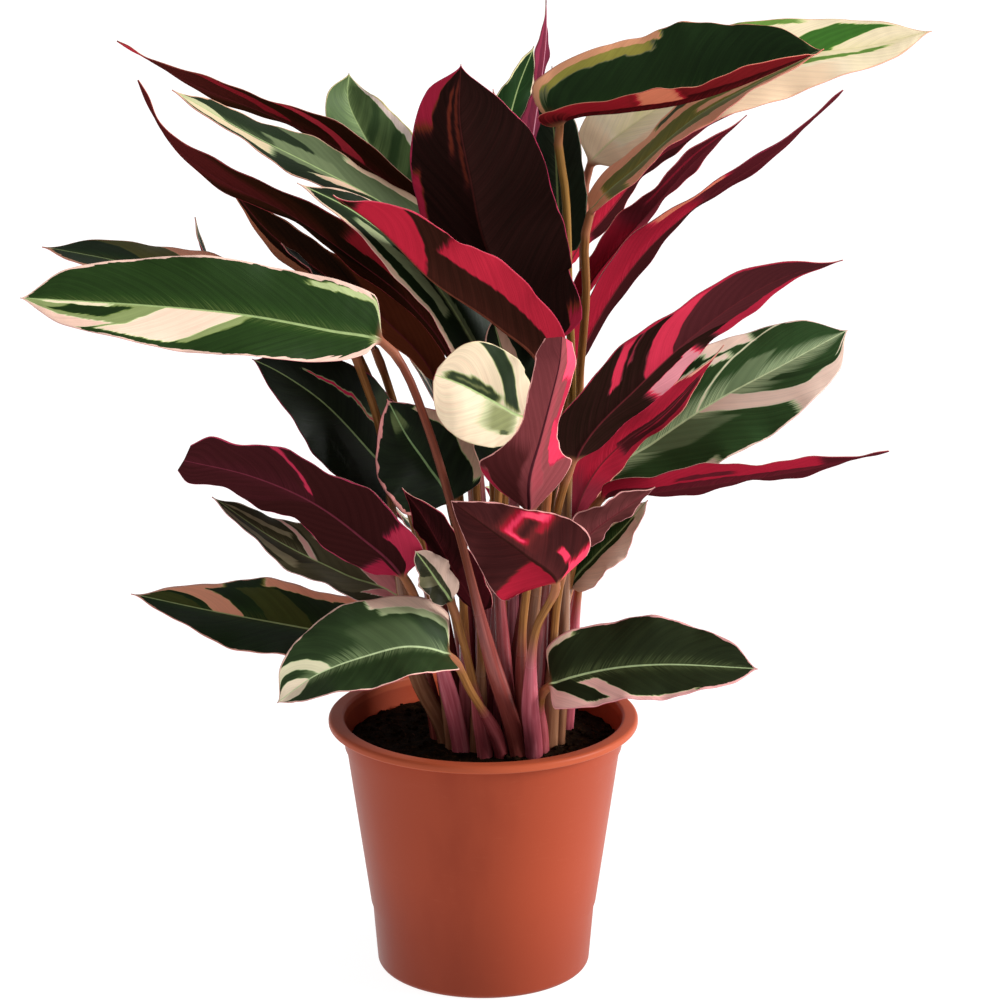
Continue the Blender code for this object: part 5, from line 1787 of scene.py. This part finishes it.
LOOKS: dict[int, WaxyLeaf] = {
    1: WaxyLeaf(0.13, (
        Mark(BOTH, -0.1, 0.26, 0.62, 0.76, 0.9, LENGTH), Mark(TRAIL, 0.36, 0.72, 0.5, -0.1, 0.8),
        Mark(TRAIL, 0.66, 0.95, 0.5), Mark(TRAIL, 0.68, 0.84, 0.08, 0.08, 0.45),
        Mark(TRAIL, 0.40, 0.60, 0.93, -0.1, 0.86), Mark(TRAIL, 0.62, 1.1, 0.97, 0.6),
        Mark(BOTH, 0.78, 0.97, 0.85, -0.12, 0.0, LENGTH), Mark(BOTH, -0.2, 0.05, 0.95, -1.2, 0.1, LENGTH)),
        top=("#111e0a", "#253e15", "#718046", "#c3cf96", "#f2dcc0", "#eebfae"), rim=(1.3, 1.3),
        rim_base=4.2, rim_top="#e6bfae", feather=0.16),
    2: WaxyLeaf(0.12, (
        Mark(LEAD, 0.44, 0.64, 0.42), Mark(LEAD, -0.4, 0.44, 0.98, 0.1), Mark(TRAIL, -0.3, 0.2, 0.3)),
        top=OLIVE_SALMON, rim=(0.8, 1.8), rim_top="#d49a7c"),
    3: WaxyLeaf(0.12, (Mark(BOTH, 0.35, 0.6, 0.45),), top=DUSKY_GREEN, rim=(1.0, 1.0), rim_top="#c9ad90"),
    4: WaxyLeaf(0.15, (
        Mark(BOTH, 0.55, 1.1, 0.34, soft=12.0), Mark(TRAIL, 0.27, 0.34, 0.86),
        Mark(TRAIL, 0.48, 0.56, 0.66, 0.1), Mark(BOTH, 0.93, 1.1, 0.84, -1.2, 1.2, LENGTH)),
        under=BROWN_MAROON, rim=(0.6, 0.8), rim_under="#8a3a34"),
    5: WaxyLeaf(0.14, (
        Mark(LEAD, -0.2, 0.42, 0.38), Mark(BOTH, 0.08, 0.42, 0.92, 0.72, 1.2, LENGTH),
        Mark(BOTH, 0.35, 0.62, 0.45, -0.1, 0.36), Mark(TRAIL, 0.28, 0.38, 0.92, -0.1, 0.6),
        Mark(BOTH, 0.8, 1.2, 0.74), Mark(BOTH, 0.66, 0.97, 0.85, -0.75, -0.1, LENGTH)),
        top=DUSKY_GREEN, rim=(1.0, 0.6), rim_top="#d6a88c"),
    6: WaxyLeaf(0.05, (
        Mark(BOTH, 0.26, 0.66, 0.82, 0.86, 1.2, LENGTH, 2.0),
        Mark(BOTH, 0.05, 0.4, 0.84, 0.6, 1.2, LENGTH, 3.0),
        Mark(BOTH, 0.62, 0.98, 0.34, 0.03, 0.12, LENGTH, 2.0),
        Mark(BOTH, 0.72, 0.95, 0.4, 0.2, 0.3, LENGTH, 2.0),
        Mark(BOTH, 0.8, 1.1, 0.72, 0.62, 1.2, LENGTH, 2.0), Mark(BOTH, -0.1, 0.1, 0.8, -1.2, -0.7, LENGTH)),
        under=("#1d120f", "#371918", "#743122", "#a0243b", "#c22c4a", "#dd5b72"), rim=(1.0, 0.5),
        rim_under="#a83050", rib_under="#4a211f", feather=0.04),
    7: WaxyLeaf(0.1, (
        Mark(TRAIL, 0.56, 1.1, 0.74, 0.0), Mark(LEAD, 0.7, 1.1, 0.7, 0.0),
        Mark(BOTH, -0.1, 0.62, 0.8, -1.2, -0.5, LENGTH), Mark(BOTH, -0.1, 0.1, 0.8, -1.2, 0.2, LENGTH),
        Mark(BOTH, 0.94, 1.1, 0.05, -1.2, 1.2, LENGTH)),
        under=("#1e120c", "#391a14", "#671e26", "#981a2c", "#c22c40", "#dd5a67"), rim=(0.5, 0.8),
        rim_under="#c23a50", rib_under="#7a4232", feather=0.08),
    8: WaxyLeaf(0.1, (
        Mark(BOTH, 0.35, 0.8, 0.6, -0.55, -0.2, LENGTH), Mark(BOTH, 0.2, 0.6, 0.46, -0.1, 0.14, LENGTH),
        Mark(BOTH, -0.1, 1.1, 0.92, -1.2, -0.86, LENGTH)),
        top=DUSKY_GREEN, rim=(0.8, 1.2), rim_top="#dcb9a2"),
    9: WaxyLeaf(0.16, (
        Mark(BOTH, 0.55, 1.1, 0.42, soft=10.0), Mark(BOTH, 0.22, 0.4, 0.03, soft=6.0),
        Mark(BOTH, -0.1, 0.42, 0.68, -1.2, -0.35, LENGTH)),
        under=BROWN_MAROON, rim=(0.6, 0.9), rim_under="#a23a40"),
    10: WaxyLeaf(0.03, (
        Mark(BOTH, -0.3, 0.35, 0.3, soft=6.0), Mark(BOTH, 0.3, 1.1, 0.66, 0.62, 1.2, LENGTH)),
        under=SALMON_BROWN, rim=(1.2, 0.6), rim_under="#9a5c48"),
    11: WaxyLeaf(0.05, (), top=DUSKY_GREEN, under=BROWN_MAROON, rim=(0.5, 0.5)),
    12: WaxyLeaf(0.03, (
        Mark(BOTH, 0.1, 0.8, 1.0, 0.4, 0.47, LENGTH), Mark(BOTH, 0.04, 0.5, 0.25, 0.47, 1.2, LENGTH, 3.0)),
        top=("#0c120a", "#1d2813", "#606d48", "#9fae84", "#a08060", "#cc2450"), rim=(0.8, 0.4),
        rim_top="#7c2a3c", rib_top="#7c905c", feather=0.06),
    13: WaxyLeaf(0.14, (Mark(BOTH, 0.2, 0.95, 0.74, -0.12, 0.22, LENGTH), Mark(LEAD, 0.1, 0.4, 0.3)),
                 under=WINE, rim=(0.8, 0.8), rim_under="#a84858"),
    14: WaxyLeaf(0.05, (
        Mark(BOTH, 0.74, 0.92, 0.4, -0.3, 0.22, LENGTH, 3.0), Mark(BOTH, 0.1, 0.86, 0.88, 0.72, 1.2, LENGTH)),
        top=("#0e140a", "#1e2c15", "#68774a", "#a9b684", "#cfa890", "#e3a39a"), rim=(1.2, 2.8),
        rim_top="#d88e8a", rib_top="#8fae76", feather=0.12),
    15: WaxyLeaf(0.26, (
        Mark(BOTH, -0.3, 0.46, 0.2, soft=2.0), Mark(TRAIL, 0.462, 0.486, 0.84, 0.15),
        Mark(BOTH, 0.0, 0.2, 0.82, -1.2, -0.35, LENGTH), Mark(BOTH, -0.1, 0.14, 0.7, 0.2, 1.2, LENGTH)),
        under=("#1c0e0c", "#351616", "#511e27", "#96213a", "#c43651", "#d86070"), rim=(0.5, 0.9),
        rim_under="#b03a58", rib_under="#6e2c3a", feather=0.1),
    16: WaxyLeaf(0.12, (
        Mark(BOTH, 0.08, 0.4, 0.24), Mark(BOTH, 0.3, 0.5, 0.72, 0.62, 1.2, LENGTH),
        Mark(LEAD, 0.42, 0.46, 0.95), Mark(BOTH, 0.55, 0.96, 0.46, -0.8, -0.45, LENGTH),
        Mark(BOTH, 0.6, 0.96, 0.46, 0.3, 0.5, LENGTH), Mark(LEAD, -0.4, 0.13, 1.0),
        Mark(TRAIL, -0.4, 0.08, 1.0, -0.1, 0.6)),
        top=GREY_PINK, rim=(0.8, 0.5), rim_top="#c9b7a6"),
    17: WaxyLeaf(0.1, (
        Mark(LEAD, 0.28, 0.46, 0.3, -0.1, 0.75), Mark(BOTH, -0.1, 0.55, 0.97, 0.76, 1.2, LENGTH),
        Mark(LEAD, 0.56, 0.68, 0.97), Mark(BOTH, 0.7, 1.0, 0.97, 0.8, 1.2, LENGTH),
        Mark(LEAD, 0.72, 1.1, 0.3)), top=OLIVE_SALMON, rim=(1.4, 0.8), rim_top="#d8a08c"),
    18: WaxyLeaf(0.14, (
        Mark(LEAD, 0.08, 0.45, 0.25, -0.1, 0.6, soft=8.0),
        Mark(BOTH, -0.1, 0.36, 0.6, 0.62, 0.8, LENGTH), Mark(BOTH, -0.1, 0.4, 0.98, 0.78, 1.2, LENGTH),
        Mark(LEAD, 0.66, 0.74, 0.8), Mark(BOTH, 0.8, 1.2, 0.88)),
        top=("#141f10", "#2e4022", "#7c8e62", "#bcc798", "#eedcc0", "#e9c3b0"),
        rim=(1.0, 0.8), rim_base=1.6, rim_top="#dcb4a4", rib_top="#c6d8a4", feather=0.3),
    19: WaxyLeaf(0.13, (
        Mark(TRAIL, -0.5, 0.2, 0.98, 0.2), Mark(TRAIL, -0.02, 0.1, 0.08, -0.1, 0.85),
        Mark(BOTH, -0.1, 0.75, 0.98, -1.2, -0.88, LENGTH), Mark(BOTH, -0.1, 0.2, 0.9, 0.86, 1.2, LENGTH)),
        top=("#12190c", "#29321b", "#66744a", "#b3b884", "#ecd2b8", "#f0b4ae"), rim=(1.4, 1.6),
        rim_top="#e6a8a4", rib_top="#b9cf98", feather=0.2),
    20: WaxyLeaf(0.2, (
        Mark(BOTH, -0.1, 0.32, 0.72, 0.03, 1.2, LENGTH), Mark(BOTH, -0.1, 0.1, 0.93, -1.2, -0.4, LENGTH),
        Mark(BOTH, 0.1, 0.2, 0.9, -0.5, -0.34, LENGTH),
        Mark(BOTH, 0.38, 0.64, 0.95, -0.98, -0.14, LENGTH, 3.5),
        Mark(BOTH, 0.43, 0.55, 0.2, -0.74, -0.26, LENGTH, 3.0),
        Mark(BOTH, 0.3, 0.42, 0.3, -0.5, -0.1, LENGTH, 3.0)),
        under=("#26100f", "#3a1a1a", "#5a2222", "#941a2a", "#d23452", "#ee4e68"), rim=(0.4, 0.8),
        rim_under="#c88a86", rib_under="#2e1512", feather=0.06),
    21: WaxyLeaf(0.4, (
        Mark(BOTH, -0.1, 0.42, 0.16, 0.22, 1.2, LENGTH, 4.0),
        Mark(BOTH, 0.15, 0.8, 0.5, -0.34, -0.05, LENGTH, 2.0),
        Mark(BOTH, 0.26, 0.62, 0.84, -1.2, -0.55, LENGTH), Mark(BOTH, 0.6, 0.84, 0.72, -1.2, -0.72, LENGTH),
        Mark(BOTH, 0.82, 1.1, 0.96, -1.2, -0.4, LENGTH), Mark(BOTH, 0.02, 0.17, 0.74, 0.82, 1.2, LENGTH)),
        under=("#3c191a", "#5a2829", "#8c4448", "#a8283f", "#dc3a58", "#f2526a"), rim=(0.8, 0.6),
        rim_under="#e6a09a", rib_under="#3a1620", feather=0.08),
    22: WaxyLeaf(0.06, (Mark(BOTH, -0.1, 0.3, 0.26),), under=WINE, rim=(0.8, 0.7), rim_under="#a8364c"),
    23: WaxyLeaf(0.04, (
        Mark(BOTH, 0.45, 1.2, 0.3, soft=1.5), Mark(TRAIL, 0.335, 0.45, 0.86),
        Mark(TRAIL, 0.165, 0.222, 0.84, 0.35), Mark(TRAIL, 0.24, 0.25, 0.6, 0.5),
        Mark(BOTH, 0.3, 0.5, 0.99, 0.55, 1.2, LENGTH), Mark(BOTH, 0.56, 0.96, 0.72, 0.72, 1.2, LENGTH),
        Mark(BOTH, 0.42, 0.95, 0.7, -1.2, -0.92, LENGTH)),
        under=MAUVE_CRIMSON, rim=(0.7, 0.7), rim_under="#b02c48", feather=0.03),
    24: WaxyLeaf(0.64, (
        Mark(BOTH, -0.1, 0.24, 0.46, -1.2, 1.2, LENGTH, 3.0), Mark(BOTH, 0.42, 0.86, 0.2, -0.1, 0.7, LENGTH),
        Mark(BOTH, 0.5, 0.8, 0.55, 0.24, 0.34, LENGTH)), under=WINE, rim=(0.7, 1.3), rim_under="#d6907e"),
    25: WaxyLeaf(0.17, (
        Mark(TRAIL, 0.14, 0.36, 0.27, -0.1, 0.45, soft=2.0), Mark(TRAIL, 0.4, 0.53, 0.95),
        Mark(BOTH, 0.72, 1.1, 0.97, -1.2, -0.62, LENGTH), Mark(TRAIL, 0.62, 0.67, 0.1, 0.15, 0.8),
        Mark(BOTH, -0.1, 0.38, 0.9, -1.2, -0.87, LENGTH), Mark(BOTH, 0.1, 0.6, 0.93, 0.82, 1.2, LENGTH),
        Mark(BOTH, 0.2, 0.6, 0.05, 0.7, 0.82, LENGTH), Mark(BOTH, 0.3, 0.62, 0.9, 0.58, 0.7, LENGTH),
        Mark(LEAD, 0.385, 0.4, 0.8), Mark(LEAD, 0.5, 0.62, 0.3, -0.1, 0.4, soft=1.5),
        Mark(BOTH, 0.54, 0.72, 0.97, 0.76, 1.2, LENGTH)),
        top=("#16270f", "#33502a", "#a3b98c", "#d3dcae", "#fae2d0", "#fadac6"), rim=(0.8, 0.9),
        rim_top="#f2d2c2", rib_top="#d6e8b4", feather=0.4, slant=0.42),
    26: WaxyLeaf(0.28, (
        Mark(BOTH, -0.1, 0.8, 0.74, -1.2, -0.2, LENGTH), Mark(BOTH, 0.3, 0.5, 0.4, -0.5, -0.3, LENGTH)),
        under=WINE, rim=(0.5, 0.6), rim_under="#9a2c42"),
    27: WaxyLeaf(0.3, (), under=("#2d1714", "#492624", "#693335", "#a33a46", "#c86063", "#d8847f"),
                 rim=(0.8, 0.8), rim_under="#c88a8a"),
    28: WaxyLeaf(0.1, (
        Mark(BOTH, -0.1, 1.1, 0.92, -1.2, -0.25, LENGTH), Mark(BOTH, -0.1, 0.9, 0.78, 0.42, 1.2, LENGTH),
        Mark(BOTH, 0.84, 1.1, 0.8, -1.2, 1.2, LENGTH)),
        top=("#111e0c", "#253d19", "#73804f", "#c9c796", "#fbdcc4", "#f4c4b0"), rim=(0.8, 0.8)),
    29: WaxyLeaf(0.34, (
        Mark(BOTH, 0.16, 0.24, 0.24, 0.1, 0.8, soft=3.0), Mark(BOTH, 0.34, 0.42, 0.22, 0.1, 0.9, soft=3.0),
        Mark(BOTH, 0.54, 0.62, 0.24, 0.05, 0.8, soft=3.0), Mark(BOTH, 0.0, 1.1, 0.98, 0.8, 1.2, LENGTH)),
        top=("#162315", "#2e4526", "#687d4d", "#a9bc8b", "#ecd2c6", "#f0d8d0"), rim=(1.0, 0.6),
        rim_top="#cfc08a"),
    30: WaxyLeaf(0.3, (Mark(BOTH, 0.0, 1.0, 0.55, -0.9, -0.5, LENGTH, 2.0),), under=HOT_SPIRE,
                 rim=(0.4, 0.4), rim_under="#7a2440", rib_under="#d492a2", feather=0.2),
    31: WaxyLeaf(0.13, (Mark(BOTH, 0.0, 1.0, 0.9, 0.8, 1.2, LENGTH),), rim=(0.6, 1.2),
                 rim_top="#d6cf9a", feather=0.1),
    32: WaxyLeaf(0.13, (
        Mark(BOTH, 0.06, 0.4, 0.68, 0.74, 0.88, LENGTH), Mark(BOTH, -0.1, 0.44, 0.97, 0.88, 1.2, LENGTH),
        Mark(BOTH, -0.2, 0.1, 0.05, -1.2, -0.4, LENGTH),
        Mark(BOTH, 0.06, 0.32, 0.56, -1.2, -0.2, LENGTH, 2.0),
        Mark(BOTH, 0.32, 0.5, 0.95, -1.2, -0.2, LENGTH),
        Mark(BOTH, 0.5, 1.1, 0.4, -1.2, -0.3, LENGTH, 2.0)),
        top=("#101a0c", "#233b19", "#6f7151", "#a39a44", "#e8a078", "#eea880"),
        under=("#1b0e09", "#3c0e10", "#7c1c20", "#a81d2c", "#cf6e56", "#e08563"),
        rim=(0.6, 0.9), rim_top="#e09a7c", rim_under="#b0383c", feather=0.2),
    33: WaxyLeaf(0.84, (
        Mark(BOTH, -0.1, 0.75, 1.0, -1.2, -0.4, LENGTH, 3.0), Mark(LEAD, 0.16, 0.28, 0.6, 0.1, 0.8, soft=4.0),
        Mark(LEAD, 0.56, 0.72, 0.02, -0.1, 0.85), Mark(BOTH, 0.5, 0.7, 0.2, 0.85, 1.2, LENGTH),
        Mark(BOTH, 0.62, 0.9, 0.16, -0.3, -0.16, LENGTH), Mark(BOTH, -0.1, 0.12, 0.99, -1.2, 1.2, LENGTH)),
        top=("#356a24", "#6f9440", "#bccb82", "#ecdfa8", "#fdeac8", "#fdddb8"), rim=(0.6, 0.8),
        rim_top="#eebd98", rib_top="#e9dca8", feather=-0.1),
    34: WaxyLeaf(0.38, (
        Mark(BOTH, 0.08, 1.1, 0.96, 0.5, 1.2, LENGTH), Mark(BOTH, 0.2, 1.1, 0.96, -1.2, -0.55, LENGTH),
        Mark(BOTH, 0.55, 1.1, 0.9, 0.12, 0.3, LENGTH), Mark(BOTH, 0.4, 1.0, 0.1, 0.72, 0.9, LENGTH),
        Mark(BOTH, -0.2, 0.12, 0.97, -1.2, 1.2, LENGTH)),
        top=("#1c280f", "#485020", "#7c7c30", "#b49c4c", "#ffb88e", "#ffaa82"), rim=(0.7, 0.5),
        rim_top="#f0a884"),
    35: WaxyLeaf(0.66, (Mark(BOTH, 0.2, 1.1, 0.12, 0.25, 1.2, LENGTH), Mark(BOTH, 0.6, 1.2, 0.34)),
                 under=WINE, rim=(0.5, 0.6), rim_under="#d07070"),
    36: WaxyLeaf(0.66, (
        Mark(BOTH, 0.4, 1.2, 0.3, -1.2, 1.2, LENGTH, 4.0), Mark(BOTH, 0.5, 1.0, 0.55, -0.5, -0.35, LENGTH)),
        under=WINE, rim=(0.7, 0.5), rim_under="#b8505c"),
    37: WaxyLeaf(0.66, (
        Mark(BOTH, -0.1, 1.1, 0.12, 0.0, 1.2, LENGTH), Mark(BOTH, 0.58, 1.2, 0.3, -1.2, 1.2, LENGTH, 2.0),
        Mark(BOTH, 0.46, 0.68, 0.98, -1.2, -0.6, LENGTH)),
        under=("#210e0d", "#40171a", "#651e29", "#9c1c30", "#c22c44", "#d78063"), rim=(0.6, 0.6),
        rim_under="#8e2c44"),
    38: WaxyLeaf(0.88, (
        Mark(BOTH, 0.46, 0.95, 0.08, 0.0, 0.22, LENGTH, 2.5),
        Mark(BOTH, 0.56, 0.88, 0.36, 0.08, 0.14, LENGTH, 2.0),
        Mark(LEAD, 0.14, 0.34, 0.05, 0.1, 1.2, soft=4.0), Mark(LEAD, 0.34, 0.46, 0.86, 0.2, 1.2, soft=3.0),
        Mark(BOTH, 0.2, 0.55, 0.46, -0.62, 0.0, LENGTH, 5.0),
        Mark(BOTH, 0.26, 0.36, 0.24, -0.66, -0.55, LENGTH),
        Mark(BOTH, -0.1, 0.14, 0.46, -0.5, 0.6, LENGTH, 3.0),
        Mark(BOTH, 0.14, 0.2, 1.0, -0.9, 0.1, LENGTH, 2.0)),
        top=("#1b2818", "#343f24", "#767a4e", "#b2b28a", "#d8c2a6", "#dcae90"), rim=(0.5, 0.6),
        rim_top="#cfc29a", feather=0.0, slant=0.5),
    39: WaxyLeaf(0.05, (Mark(BOTH, 0.0, 1.1, 0.9, 0.06, 0.5, LENGTH),),
                 top=("#0e140a", "#1e2c15", "#68774a", "#c4a47e", "#c9a088", "#d8a898"), rim=(1.3, 0.8)),
    49: WaxyLeaf(0.12, (Mark(BOTH, 0.0, 1.1, 0.9, 0.3, 1.2, LENGTH), Mark(TRAIL, 0.3, 0.5, 0.4)),
                 top=("#1d1e10", "#30301e", "#706c4f", "#a0987c", "#b89c8c", "#c8a89c"), rim=(0.8, 0.6),
                 rim_top="#c8a898"),
    48: WaxyLeaf(0.1, (), top=("#161e17", "#2e3b2c", "#636d55", "#9fae80", "#dcc3a8", "#e0a49a"),
                 rim=(0.5, 0.5), rim_top="#8a9a7c"),
}


def main() -> None:
    """Build and dress the pot, the soil, every leaf and the studio."""
    pot = NurseryPot()
    pot.dress(pot.build())
    SoilBed(pot).dress()
    for leaf in LEAVES:
        piece = LeafPiece(leaf, look_of(leaf))
        piece.dress(piece.build())
    Studio().build()
    LOG.info("built %d leaves", len(LEAVES))


if __name__ == "__main__":
    main()
